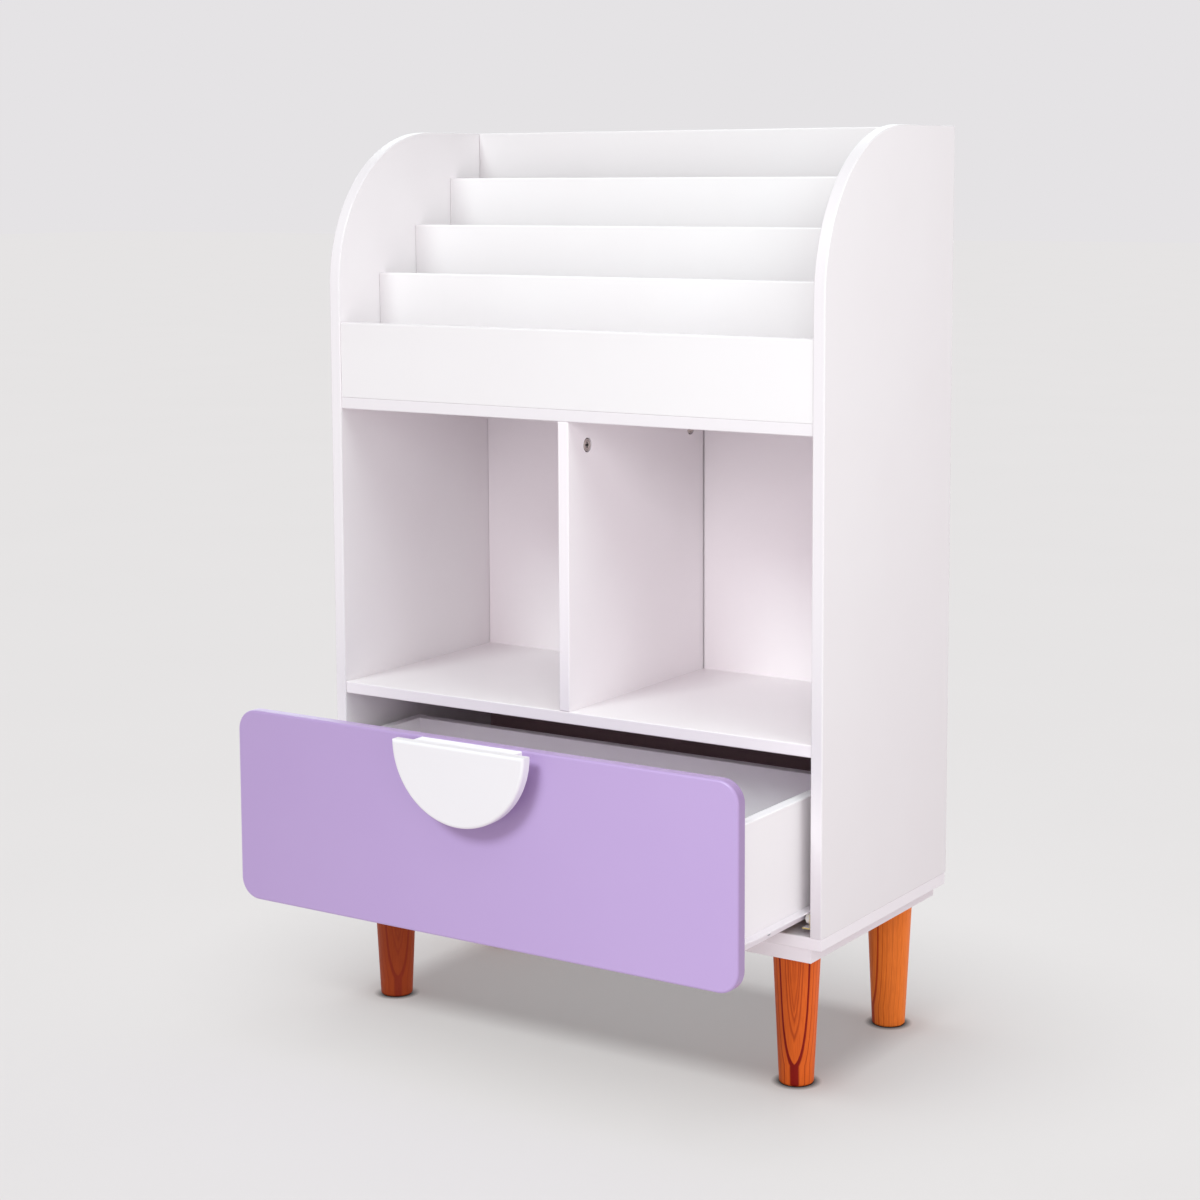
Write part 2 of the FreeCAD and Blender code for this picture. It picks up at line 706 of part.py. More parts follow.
def roller(near_x, y, z):
    """A nylon wheel with eased rims and a bore that runs on its rivet."""
    start = Vector(near_x, y, z)
    wheel = rod(ROLLER_RADIUS, start, RIGHT, ROLLER_WIDTH)
    wheel = eased(wheel, ROLLER_EASE, lambda edge: not runs_along(edge, "X"))
    bore = rod(
        RIVET_RADIUS + RIVET_RUN_CLEARANCE,
        start - RIGHT * OVERRUN,
        RIGHT,
        ROLLER_WIDTH + 2 * OVERRUN,
    )
    return wheel.cut(bore)


def front_roller_rivet():
    """The rivet that carries a front roller, from the channel's web to a head inside the roller."""
    head_x = front_roller_x - RIVET_END_PLAY
    start = Vector(inner_x, front_roller_y, front_roller_z)
    shank = rod(RIVET_RADIUS, start, RIGHT * -1, inner_x - head_x)
    seat = Vector(head_x, front_roller_y, front_roller_z)
    head = rod(RIVET_HEAD_RADIUS, seat, RIGHT * -1, RIVET_HEAD_HEIGHT)
    return shank.fuse(head).removeSplitter()


def rear_roller_rivet():
    """The rivet that carries a rear roller, from the rail's tab to a head outside the roller."""
    head_x = rear_roller_x + ROLLER_WIDTH + RIVET_END_PLAY
    start = Vector(drawer_x, rear_roller_y, rear_roller_z)
    shank = rod(RIVET_RADIUS, start, RIGHT, head_x - drawer_x)
    seat = Vector(head_x, rear_roller_y, rear_roller_z)
    head = rod(RIVET_HEAD_RADIUS, seat, RIGHT, RIVET_HEAD_HEIGHT)
    return shank.fuse(head).removeSplitter()


# All the pieces by name


def group(solids):
    """Alike small pieces, kept as separate solids in one node."""
    return Part.makeCompound(solids)


def pair(shape):
    """A right-hand piece and its mirror image on the left."""
    return group([shape, mirrored(shape)])


def all_parts():
    """Every node of the bookshelf."""
    places = leg_places()
    shelf_cam_joints = on_both(bay_shelf_joints) + on_both(pocket_shelf_joints)
    pocket_dowel_joints = [joint for joints in pocket_joints.values() for joint in on_both(joints)]
    front_roller = roller(front_roller_x, front_roller_y, front_roller_z)
    rear_roller = roller(rear_roller_x, rear_roller_y, rear_roller_z)
    parts = {
        "bottom_board": bottom_board(),
        "base_board": base_board(),
        "drawer_bay_shelf": drawer_bay_shelf(),
        "pocket_shelf": pocket_shelf(),
        "compartment_divider": compartment_divider(),
        "lower_back_board": lower_back_board(),
        "leg_hanger_bolts": group([hanger_bolt(place) for place in places.values()]),
        "leg_threaded_inserts": group([threaded_insert(place) for place in places.values()]),
        "base_board_screws": group(gather(base_screws, "screw")),
        "side_panel_screws": group(gather(on_both(side_screws), "screw")),
        "back_board_screws": group(gather(back_screws, "screw")),
        "divider_cam_locks": group(gather(divider_cams, "cam")),
        "divider_cam_bolts": group(gather(divider_cams, "bolt")),
        "shelf_cam_locks": group(gather(shelf_cam_joints, "cam")),
        "shelf_cam_bolts": group(gather(shelf_cam_joints, "bolt")),
        "divider_dowels": group(gather(divider_dowel_joints, "dowel")),
        "pocket_dowels": group(gather(pocket_dowel_joints, "dowel")),
        "cabinet_rail_screws": group(gather(on_both(cabinet_screws), "screw")),
        "front_roller_rivets": pair(front_roller_rivet()),
        "drawer_front": drawer_front(),
        "drawer_back": drawer_back(),
        "drawer_bottom": drawer_bottom(),
        "handle_plate": handle_plate(),
        "handle_spacer": handle_spacer(),
        "handle_screws": group(gather(handle_screws, "screw")),
        "drawer_rail_screws": group(gather(on_both(drawer_rail_screws), "screw")),
        "rear_roller_rivets": pair(rear_roller_rivet()),
        "drawer_cam_locks": group(gather(on_both(drawer_cams), "cam")),
        "drawer_cam_bolts": group(gather(on_both(drawer_cams), "bolt")),
        "drawer_back_screws": group(gather(on_both(drawer_back_screws), "screw")),
        "front_roller_left": mirrored(front_roller),
        "front_roller_right": front_roller,
        "rear_roller_left": mirrored(rear_roller),
        "rear_roller_right": rear_roller,
    }
    parts.update({name: pocket_board(name) for name in pocket_boards})
    parts.update({name: leg(place) for name, place in places.items()})
    for side, sign in (("left", -1), ("right", 1)):
        parts[f"side_panel_{side}"] = side_panel(side, sign)
        parts[f"drawer_side_{side}"] = drawer_side(side, sign)
        parts[f"cabinet_rail_{side}"] = cabinet_rail(side, sign)
        parts[f"drawer_rail_{side}"] = drawer_rail(side, sign)
    return parts


os.makedirs("parts", exist_ok=True)
for node, shape in all_parts().items():
    shape.exportStep(os.path.join("parts", node + ".step"))
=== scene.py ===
# %% [markdown]
# # A children's bookshelf, dressed for its picture
# The solids of the bookshelf come in from CAD at their true size, in metres, with +Z up and the drawer
# opening towards -Y. Boards, legs, rails and rollers keep those solids, because their shapes are right.
# This lesson gives each of them its finish, makes finer cams and screws, and then lights the whole.

import math

import bpy
import numpy as np
from mathutils import Matrix, Vector


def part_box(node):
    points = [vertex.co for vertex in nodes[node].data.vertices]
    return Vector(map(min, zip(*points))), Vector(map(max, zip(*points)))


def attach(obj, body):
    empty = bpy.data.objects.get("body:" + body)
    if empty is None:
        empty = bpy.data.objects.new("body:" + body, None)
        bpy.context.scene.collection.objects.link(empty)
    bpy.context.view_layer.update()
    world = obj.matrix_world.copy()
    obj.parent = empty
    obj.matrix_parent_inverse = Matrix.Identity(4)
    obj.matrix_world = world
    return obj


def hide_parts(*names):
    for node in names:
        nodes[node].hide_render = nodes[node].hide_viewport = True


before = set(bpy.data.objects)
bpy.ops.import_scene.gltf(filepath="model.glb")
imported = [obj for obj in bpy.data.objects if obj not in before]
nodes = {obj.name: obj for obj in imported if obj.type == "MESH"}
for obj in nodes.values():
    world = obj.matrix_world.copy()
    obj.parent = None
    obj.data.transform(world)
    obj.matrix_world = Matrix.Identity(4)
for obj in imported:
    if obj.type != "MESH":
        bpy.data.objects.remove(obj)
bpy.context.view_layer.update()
scene = bpy.context.scene
print("pieces from CAD:", len(nodes))

# %% [markdown]
# ## Units and colours
# Sizes are written in millimetres, as a joiner would, and one factor turns them to metres. Colours are
# written as the hex values that a paint chart shows on a screen. A renderer counts light and not screen
# values, so one function turns each hex colour to linear light.

# %% Millimetres and colours
MM = 0.001
FULL_BYTE = 255
SRGB_KNEE, SRGB_SLOPE = 0.04045, 12.92
SRGB_OFFSET, SRGB_POWER = 0.055, 2.4
MID_GREY = "#808080"


def linear(hex_colour):
    """An sRGB hex colour as linear red, green, blue and full alpha, by the sRGB curve."""
    srgb = np.array([int(hex_colour[place:place + 2], 16) for place in (1, 3, 5)]) / FULL_BYTE
    curve = ((srgb + SRGB_OFFSET) / (1 + SRGB_OFFSET)) ** SRGB_POWER
    light = np.where(srgb <= SRGB_KNEE, srgb / SRGB_SLOPE, curve)
    return (*light.tolist(), 1.0)


def per_metre(size_mm):
    """The texture scale that gives a pattern its real size: how many of it lie in a metre."""
    return 1 / (size_mm * MM)


print("half of the screen's range is this share of the light:", round(linear(MID_GREY)[0], 3))

# %% [markdown]
# ## One way to add a node
# A material is a small network of nodes. It could be drawn by hand in the shader editor, but written down
# it can be reread and changed. One function adds one node, sets its options, places the stops of a colour
# ramp, and fills the inputs, each with a plain value or with the output of an earlier node.

# %% Node helpers
# A Mix node takes its share in socket 0 and two colours in sockets 6 and 7, and gives their mix in output 2.
MIX_SHARE, MIX_FIRST, MIX_SECOND, MIXED = 0, 6, 7, 2


def add_node(tree, kind, inputs=(), stops=(), **options):
    """Adds a node: inputs pairs a socket with a value or an output, stops are the colours of a ramp."""
    node = tree.nodes.new("ShaderNode" + kind)
    for name, value in options.items():
        setattr(node, name, value)
    if stops:
        first, last = node.color_ramp.elements
        first.position, first.color = stops[0]
        last.position, last.color = stops[-1]
        for position, colour in stops[1:-1]:
            node.color_ramp.elements.new(position).color = colour
    for key, value in dict(inputs).items():
        if isinstance(value, bpy.types.NodeSocket):
            tree.links.new(value, node.inputs[key])
        else:
            node.inputs[key].default_value = value
    return node


def new_material(name):
    """An empty material, its node tree, and the node that tells where on the piece a point lies."""
    material = bpy.data.materials.new(name)
    material.use_nodes = True
    tree = material.node_tree
    tree.nodes.clear()
    return material, tree, add_node(tree, "TexCoord")


def finish_surface(tree, inputs):
    """Adds the principled surface with these inputs, and the material's output."""
    surface = add_node(tree, "BsdfPrincipled", inputs)
    add_node(tree, "OutputMaterial", {"Surface": surface.outputs["BSDF"]})


def give(material, *names):
    """Puts one material on the CAD pieces with these names."""
    for name in names:
        nodes[name].data.materials.clear()
        nodes[name].data.materials.append(material)
    print(material.name, "is on", ", ".join(names))


print("nodes of Blender", bpy.app.version_string)

# %% [markdown]
# ## White faced board
# The boards are particle board with a white melamine skin. The skin is pressed against an etched plate,
# which leaves a fine pearl, so it has a soft sheen and no mirror image. The real pearl is finer than a pixel
# here, so it is drawn a few times too coarse. The edges carry a thin plastic band, a little smoother and
# whiter, and a fine glue line shows where band and skin meet. The parts of a board could be told apart by a
# painted mask, but the direction of the surface is enough: where it looks along the board's thickness it is
# skin, where it looks across it is band, and the glue line lies between. Below the drawer bay's shelf the
# front of the back board is painted a mottled dark brown: painted shade for the dark inside of the bay.

# %% White melamine-faced particle board
SKIN_WHITE, SKIN_CLOUD = "#F3EDF0", "#F0E9EC"
BAND_WHITE, GLUE_LINE = "#EFE7EC", "#D8CDD3"
SKIN_ROUGHNESS, BAND_ROUGHNESS = 0.42, 0.30
CLOUD_MM, CLOUD_DETAIL = 90.0, 3.0
PEARL_MM, PEARL_DETAIL, PEARL_HEIGHT_MM = 1.4, 2.0, 0.006
BAND_END_SHARE, GLUE_SHARE, SKIN_START_SHARE = 0.50, 0.62, 0.76
MELAMINE_IOR = 1.5
# The mottled dark brown painted as shade on the back board below the drawer bay's shelf.
BAY_SHADE_BROWN, BAY_SHADE_PALE = "#9E8086", "#AA8C92"
SHADE_MOTTLE_MM, SHADE_MOTTLE_DETAIL = 3.0, 2.0
FACES_FRONT = -0.5
THICKNESS_AXES = {"upright_side": (1, 0, 0), "upright_front": (0, 1, 0), "level": (0, 0, 1)}


def faced_board(stance, shade_height=0.0, ending=""):
    """Skin, bands and glue line for a board thin along its stance's axis, its front painted dark as shade
    below a height.
    """
    material, tree, place = new_material("white_melamine_board_" + stance + ending)
    point, way = place.outputs["Object"], place.outputs["Normal"]
    across_inputs = {0: way, 1: THICKNESS_AXES[stance]}
    across = add_node(tree, "VectorMath", across_inputs, operation="DOT_PRODUCT").outputs["Value"]
    facing = add_node(tree, "Math", {0: across}, operation="ABSOLUTE").outputs[0]
    cloud_inputs = {"Vector": point, "Scale": per_metre(CLOUD_MM), "Detail": CLOUD_DETAIL}
    cloud = add_node(tree, "TexNoise", cloud_inputs).outputs["Fac"]
    skin_inputs = {MIX_SHARE: cloud, MIX_FIRST: linear(SKIN_WHITE), MIX_SECOND: linear(SKIN_CLOUD)}
    skin = add_node(tree, "Mix", skin_inputs, data_type="RGBA").outputs[MIXED]
    edge_stops = ((BAND_END_SHARE, linear(BAND_WHITE)), (GLUE_SHARE, linear(GLUE_LINE)))
    edge = add_node(tree, "ValToRGB", {0: facing}, edge_stops).outputs["Color"]
    skin_range = {"Value": facing, "From Min": GLUE_SHARE, "From Max": SKIN_START_SHARE}
    is_skin = add_node(tree, "MapRange", skin_range).outputs[0]
    faced_inputs = {MIX_SHARE: is_skin, MIX_FIRST: edge, MIX_SECOND: skin}
    faced = add_node(tree, "Mix", faced_inputs, data_type="RGBA").outputs[MIXED]
    # Below the height, front faces are painted a mottled dark brown: painted shade for the dark bay.
    shade_mottle_inputs = {"Vector": point, "Scale": per_metre(SHADE_MOTTLE_MM), "Detail": SHADE_MOTTLE_DETAIL}
    shade_mottle = add_node(tree, "TexNoise", shade_mottle_inputs).outputs["Fac"]
    painted_shade_inputs = {MIX_SHARE: shade_mottle, MIX_FIRST: linear(BAY_SHADE_BROWN), MIX_SECOND: linear(BAY_SHADE_PALE)}
    painted_shade = add_node(tree, "Mix", painted_shade_inputs, data_type="RGBA").outputs[MIXED]
    height = add_node(tree, "SeparateXYZ", {0: point}).outputs["Z"]
    backward = add_node(tree, "SeparateXYZ", {0: way}).outputs["Y"]
    is_low = add_node(tree, "Math", {0: height, 1: shade_height}, operation="LESS_THAN").outputs[0]
    is_front = add_node(tree, "Math", {0: backward, 1: FACES_FRONT}, operation="LESS_THAN").outputs[0]
    is_painted_shade = add_node(tree, "Math", {0: is_low, 1: is_front}, operation="MULTIPLY").outputs[0]
    shown_inputs = {MIX_SHARE: is_painted_shade, MIX_FIRST: faced, MIX_SECOND: painted_shade}
    shown = add_node(tree, "Mix", shown_inputs, data_type="RGBA").outputs[MIXED]
    sheen_range = {"Value": is_skin, "To Min": BAND_ROUGHNESS, "To Max": SKIN_ROUGHNESS}
    sheen = add_node(tree, "MapRange", sheen_range).outputs[0]
    pearl_inputs = {"Vector": point, "Scale": per_metre(PEARL_MM), "Detail": PEARL_DETAIL}
    pearl = add_node(tree, "TexNoise", pearl_inputs).outputs["Fac"]
    bump = add_node(tree, "Bump", {"Height": pearl, "Distance": PEARL_HEIGHT_MM * MM}).outputs[0]
    finish_surface(
        tree, {"Base Color": shown, "Roughness": sheen, "Normal": bump, "IOR": MELAMINE_IOR}
    )
    return material


board_sides = faced_board("upright_side")
board_fronts = faced_board("upright_front")
board_levels = faced_board("level")
bay_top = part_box("drawer_bay_shelf")[0][2]
# Painted shade: below the bay shelf, the back board's front is dark brown.
shaded_bay_back = faced_board("upright_front", bay_top, "_with_bare_foot")
give(board_sides, "side_panel_left", "side_panel_right", "compartment_divider")
give(board_sides, "drawer_side_left", "drawer_side_right")
give(board_fronts, "pocket_front_lip", "pocket_divider_front", "pocket_divider_middle")
give(board_fronts, "pocket_divider_rear", "upper_back_board", "drawer_back")
give(board_levels, "bottom_board", "base_board", "drawer_bay_shelf", "pocket_shelf")
give(shaded_bay_back, "lower_back_board")

# %% [markdown]
# ## Lacquered fibreboard
# The drawer front and its half-round handle are fibreboard, routed round at the edges and sprayed with
# lacquer. A sprayed coat pulls into a faint orange peel while it dries, a few millimetres from crest to
# crest. A flat colour would look like plastic, so the peel goes into the bump, a slow cloud into the colour,
# and a thin clear coat gives the soft highlight.

# %% Sprayed lacquer
LILAC, LILAC_CLOUD = "#BB9FD1", "#B89BCF"
LACQUER_WHITE, LACQUER_WHITE_CLOUD = "#F0EAEF", "#EDE7EC"
PEEL_MM, PEEL_DETAIL, PEEL_HEIGHT_MM = 3.2, 1.0, 0.008
LACQUER_ROUGHNESS, LACQUER_IOR = 0.40, 1.48
LACQUER_COAT, LACQUER_COAT_ROUGHNESS = 0.18, 0.22


def sprayed_lacquer(name, colour, cloud_colour):
    """Lacquer with a slow cloud of two near colours and a bump of orange peel."""
    material, tree, place = new_material(name)
    point = place.outputs["Object"]
    cloud_inputs = {"Vector": point, "Scale": per_metre(CLOUD_MM), "Detail": CLOUD_DETAIL}
    cloud = add_node(tree, "TexNoise", cloud_inputs).outputs["Fac"]
    paint_inputs = {MIX_SHARE: cloud, MIX_FIRST: linear(colour), MIX_SECOND: linear(cloud_colour)}
    paint = add_node(tree, "Mix", paint_inputs, data_type="RGBA").outputs[MIXED]
    peel_inputs = {"Vector": point, "Scale": per_metre(PEEL_MM), "Detail": PEEL_DETAIL}
    peel = add_node(tree, "TexNoise", peel_inputs).outputs["Fac"]
    bump = add_node(tree, "Bump", {"Height": peel, "Distance": PEEL_HEIGHT_MM * MM}).outputs[0]
    finish_surface(
        tree,
        {
            "Base Color": paint,
            "Roughness": LACQUER_ROUGHNESS,
            "Normal": bump,
            "IOR": LACQUER_IOR,
            "Coat Weight": LACQUER_COAT,
            "Coat Roughness": LACQUER_COAT_ROUGHNESS,
        },
    )
    return material


lilac_lacquer = sprayed_lacquer("lilac_lacquered_fibreboard", LILAC, LILAC_CLOUD)
white_lacquer = sprayed_lacquer("white_lacquered_fibreboard", LACQUER_WHITE, LACQUER_WHITE_CLOUD)
give(lilac_lacquer, "drawer_front")
give(white_lacquer, "handle_plate", "handle_spacer")

# %% [markdown]
# ## Stained pine legs
# Each leg is turned from pine and stained orange. A tree lays down one ring a year: pale wood in spring,
# then darker and harder wood that ends sharply in autumn. Stain sinks into the pale wood and leaves the
# dark wood red-brown. The pith, the tree's middle line, lies well outside the leg, so a turned taper cuts
# the rings at a slant: they show as nested points on one side and as straight lines on the next. Stripes
# painted along the leg could not do both, so the rings are worked out in the round. The distance from a
# pith line says how deep under the bark a point lies, and a table of years says how dark it is there.

# %% The years of a pine trunk
BARK_MM, YEARS_SPAN_MM = 4.4, 27.0
AUTUMN_END_MM = 0.1
# Each year: its end, in mm outside the skin of the foot, how much of its dark wood is full, the whole
# thickness of its dark wood, its darkness.
YEARS = (
    (3.77, 0.0, 0.25, 0.3), (3.28, 0.0, 0.25, 0.5), (2.94, 0.0, 0.3, 0.6), (2.24, 0.0, 0.4, 0.65),
    (0.0, 0.75, 1.2, 1.0), (-3.1, 0.0, 0.7, 0.75), (-6.2, 0.0, 0.8, 0.6), (-10.5, 0.0, 0.9, 0.5),
    (-15.0, 0.0, 0.8, 0.45), (-19.5, 0.0, 1.0, 0.5),
)


def year_stops():
    """Darkness along the depth: at each year's end it starts at once, may stay full a while, then fades."""
    stops = []
    for year_end, full, thickness, darkness in YEARS:
        depth = BARK_MM - year_end
        stops.append((depth - AUTUMN_END_MM, 0.0))
        stops.append((depth, darkness))
        if full:
            stops.append((depth + full, darkness))
        stops.append((depth + thickness, 0.0))
    return [(depth / YEARS_SPAN_MM, (dark, dark, dark, 1.0)) for depth, dark in stops]


print("years in a leg:", len(YEARS), "ramp stops:", len(year_stops()))

# %% [markdown]
# The pith leans as much as the leg tapers, so along the side with the points a ring would run straight up.
# But a trunk swells towards its root, where the rings flare out, and a low ridge runs up it above each root,
# and these two bring the rings together in sharp points. A little noise, long along the grain, keeps the
# lines from looking ruled.

# %% The depth under the bark
PITH_DEPTH_MM, PITH_LEAN, RIDGE_SHARE = 40.0, -0.0485, 0.08
FOOT_RADIUS_MM = 17.4
FLARE_MM, FLARE_START_MM, FLARE_HEIGHT_MM, FLARE_FOOT_MM = 7.9, 4.2, 37.0, 22.0
RING_WAVE_MM, RING_WAVE_LENGTH_MM, RING_WAVE_SIZE_MM = 0.16, 70.0, 12.0
GRAIN_DETAIL = 2.0


def long_noise(tree, place, size_mm, length_mm, **options):
    """Noise that is drawn out along Z: one size across the grain and another along it."""
    scale = (per_metre(size_mm), per_metre(size_mm), per_metre(length_mm))
    drawn_out = add_node(tree, "Mapping", {"Vector": place.outputs["Object"], "Scale": scale})
    inputs = {"Vector": drawn_out.outputs[0], "Scale": 1.0, "Detail": GRAIN_DETAIL}
    return add_node(tree, "TexNoise", inputs, **options)


def depth_under_bark(tree, place, axis_mm, points_to):
    """In mm: the trunk's radius at this height, less the distance from the pith, plus the ridge's fall."""
    outwards = np.array((math.cos(math.radians(points_to)), math.sin(math.radians(points_to)), 0.0))
    sideways = np.array((-outwards[1], outwards[0], 0.0))
    pith_foot = (np.array((*axis_mm, 0.0)) - outwards * PITH_DEPTH_MM) * MM
    pith_way = np.array((0.0, 0.0, 1.0)) - outwards * PITH_LEAN
    pith_way = pith_way / np.linalg.norm(pith_way)
    point = place.outputs["Object"]
    wave = long_noise(tree, place, RING_WAVE_SIZE_MM, RING_WAVE_LENGTH_MM, normalize=False).outputs["Color"]
    from_pith = add_node(tree, "VectorMath", {0: point, 1: pith_foot}, operation="SUBTRACT").outputs[0]
    wave_inputs = {0: wave, 1: (RING_WAVE_MM * MM,) * 3, 2: from_pith}
    waved = add_node(tree, "VectorMath", wave_inputs, operation="MULTIPLY_ADD").outputs[0]
    square_on = add_node(tree, "VectorMath", {0: waved, 1: pith_way}, operation="CROSS_PRODUCT").outputs[0]
    distance = add_node(tree, "VectorMath", {0: square_on}, operation="LENGTH").outputs["Value"]
    height = add_node(tree, "SeparateXYZ", {0: point}).outputs["Z"]
    above_root = add_node(tree, "Math", {0: height, 1: FLARE_FOOT_MM * MM}, operation="MAXIMUM").outputs[0]
    root_inputs = {0: above_root, 1: -per_metre(FLARE_HEIGHT_MM)}
    root_share = add_node(tree, "Math", root_inputs, operation="MULTIPLY").outputs[0]
    swelling = add_node(tree, "Math", {0: root_share}, operation="EXPONENT").outputs[0]
    trunk_radius = PITH_DEPTH_MM + FOOT_RADIUS_MM + BARK_MM - FLARE_START_MM
    bark_inputs = {0: swelling, 1: FLARE_MM, 2: trunk_radius}
    bark_here = add_node(tree, "Math", bark_inputs, operation="MULTIPLY_ADD").outputs[0]
    depth_inputs = {0: distance, 1: -1 / MM, 2: bark_here}
    round_depth = add_node(tree, "Math", depth_inputs, operation="MULTIPLY_ADD").outputs[0]
    beside_inputs = {0: waved, 1: sideways}
    beside = add_node(tree, "VectorMath", beside_inputs, operation="DOT_PRODUCT").outputs["Value"]
    off_ridge = add_node(tree, "Math", {0: beside}, operation="ABSOLUTE").outputs[0]
    ridge_inputs = {0: off_ridge, 1: RIDGE_SHARE / MM, 2: round_depth}
    return add_node(tree, "Math", ridge_inputs, operation="MULTIPLY_ADD").outputs[0]


print("the pith lies", PITH_DEPTH_MM - FOOT_RADIUS_MM, "mm outside the foot of a leg")

# %% [markdown]
# On the far side of the leg the table of years runs backwards and fainter, which saves a second table.
# Fibres between the rings are much finer than a pixel here, so their streaks are drawn several times too
# coarse. The dark wood is harder, wears less and stands a little proud, which the bump shows.

# %% Stained pine
FAR_START_MM, FAR_END_MM, FAR_CONTRAST = 24.0, 30.0, 0.4
FIBRE_MM, FIBRE_LENGTH_MM = 0.9, 30.0
FIBRE_DARK, FIBRE_LIGHT = "#D2BFB4", "#FFFFFF"
RING_HEIGHT_MM = 0.04
PINE_ROUGHNESS, PINE_IOR, PINE_SPECULAR = 0.48, 1.42, 0.22


def stained_pine(name, axis_mm, points_to, pale, dark):
    """Pine round one leg's axis, with the nested points of its rings on the side that points_to names."""
    material, tree, place = new_material("stained_turned_pine_" + name)
    under_bark = depth_under_bark(tree, place, axis_mm, points_to)
    turn_inputs = {0: under_bark, 1: YEARS_SPAN_MM}
    there_and_back = add_node(tree, "Math", turn_inputs, operation="PINGPONG").outputs[0]
    year_inputs = {0: there_and_back, 1: YEARS_SPAN_MM}
    year_share = add_node(tree, "Math", year_inputs, operation="DIVIDE").outputs[0]
    ring = add_node(tree, "ValToRGB", {0: year_share}, year_stops()).outputs["Color"]
    far_range = {"From Min": FAR_START_MM, "From Max": FAR_END_MM, "To Min": 1.0, "To Max": FAR_CONTRAST}
    contrast = add_node(tree, "MapRange", {"Value": under_bark, **far_range}).outputs[0]
    darkness = add_node(tree, "Math", {0: ring, 1: contrast}, operation="MULTIPLY").outputs[0]
    wood_inputs = {MIX_SHARE: darkness, MIX_FIRST: linear(pale), MIX_SECOND: linear(dark)}
    wood = add_node(tree, "Mix", wood_inputs, data_type="RGBA").outputs[MIXED]
    fibre = long_noise(tree, place, FIBRE_MM, FIBRE_LENGTH_MM).outputs["Fac"]
    streak_inputs = {MIX_SHARE: fibre, MIX_FIRST: linear(FIBRE_DARK), MIX_SECOND: linear(FIBRE_LIGHT)}
    streak = add_node(tree, "Mix", streak_inputs, data_type="RGBA").outputs[MIXED]
    grain_inputs = {MIX_SHARE: 1.0, MIX_FIRST: wood, MIX_SECOND: streak}
    grain = add_node(tree, "Mix", grain_inputs, data_type="RGBA", blend_type="MULTIPLY").outputs[MIXED]
    bump = add_node(tree, "Bump", {"Height": darkness, "Distance": RING_HEIGHT_MM * MM}).outputs[0]
    finish_surface(
        tree,
        {
            "Base Color": grain,
            "Roughness": PINE_ROUGHNESS,
            "Normal": bump,
            "IOR": PINE_IOR,
            "Specular IOR Level": PINE_SPECULAR,
        },
    )
    return material


print("a leg's far side starts", FAR_START_MM, "mm under the bark")

# %% [markdown]
# The four legs come from four different blanks, so each has its own pith and its own depth of stain. The
# front left leg is made darker still: part of that is its stain, the rest is painted shade for the drawer's
# shadow on it. The direction of the points is an angle round the leg, counted from +X towards +Y.

# %% Dress the legs
# Each blank: where its points look, in degrees, its pale wood, its dark wood.
LEG_WOODS_AND_SHADE = {
    "leg_front_right": (-68.1, "#DF6620", "#861004"),
    "leg_back_right": (-133.6, "#E67A2C", "#B4420E"),
    # The front left leg's colours hold painted shade for the drawer's shadow, as well as a darker stain.
    "leg_front_left": (-46.8, "#AC481D", "#98341A"),
    "leg_back_left": (130.0, "#E4682C", "#8A2A10"),
}


def span_mm(node):
    """The lowest and the highest corner of a CAD piece, in millimetres."""
    low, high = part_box(node)
    return np.array(low) / MM, np.array(high) / MM


for name, wood_and_shade in LEG_WOODS_AND_SHADE.items():
    low, high = span_mm(name)
    leg_axis = (low + high)[:2] / 2
    give(stained_pine(name, leg_axis, *wood_and_shade), name)
    print(name, "stands at", leg_axis.round(1), "mm")

# %% [markdown]
# ## Hardboard drawer bottom
# The drawer bottom is a thin sheet of hardboard: wood fibres pressed hot on a wire screen. The screen
# leaves a mesh of small dents on the underside, which stays brown, and the smooth upper side is printed
# white. The direction of the surface tells the two sides apart.

# %% White printed hardboard
HARDBOARD_WHITE, HARDBOARD_BROWN, HARDBOARD_FLECK = "#EDEAEC", "#8A6442", "#6E4B2E"
SCREEN_MM, SCREEN_HEIGHT_MM = 1.6, 0.12
FIBRE_FLECK_MM, FIBRE_FLECK_DETAIL = 2.5, 4.0
TOP_START_SHARE, TOP_FULL_SHARE = 0.2, 0.6
HARDBOARD_ROUGHNESS = 0.5
# For directions a Mix node has sockets 4 and 5 and output 1.
MIX_FIRST_WAY, MIX_SECOND_WAY, MIXED_WAY = 4, 5, 1

hardboard, tree, place = new_material("white_printed_hardboard")
point, way = place.outputs["Object"], place.outputs["Normal"]
upward = add_node(tree, "SeparateXYZ", {0: way}).outputs["Z"]
top_range = {"Value": upward, "From Min": TOP_START_SHARE, "From Max": TOP_FULL_SHARE}
is_top = add_node(tree, "MapRange", top_range).outputs[0]
fleck_inputs = {"Vector": point, "Scale": per_metre(FIBRE_FLECK_MM), "Detail": FIBRE_FLECK_DETAIL}
fleck = add_node(tree, "TexNoise", fleck_inputs).outputs["Fac"]
fibre_inputs = {MIX_SHARE: fleck, MIX_FIRST: linear(HARDBOARD_BROWN), MIX_SECOND: linear(HARDBOARD_FLECK)}
fibre_colour = add_node(tree, "Mix", fibre_inputs, data_type="RGBA").outputs[MIXED]
sheet_inputs = {MIX_SHARE: is_top, MIX_FIRST: fibre_colour, MIX_SECOND: linear(HARDBOARD_WHITE)}
sheet_colour = add_node(tree, "Mix", sheet_inputs, data_type="RGBA").outputs[MIXED]
screen_inputs = {"Vector": point, "Scale": per_metre(SCREEN_MM), "Randomness": 0.0}
screen = add_node(tree, "TexVoronoi", screen_inputs).outputs["Distance"]
dented = add_node(tree, "Bump", {"Height": screen, "Distance": SCREEN_HEIGHT_MM * MM}).outputs[0]
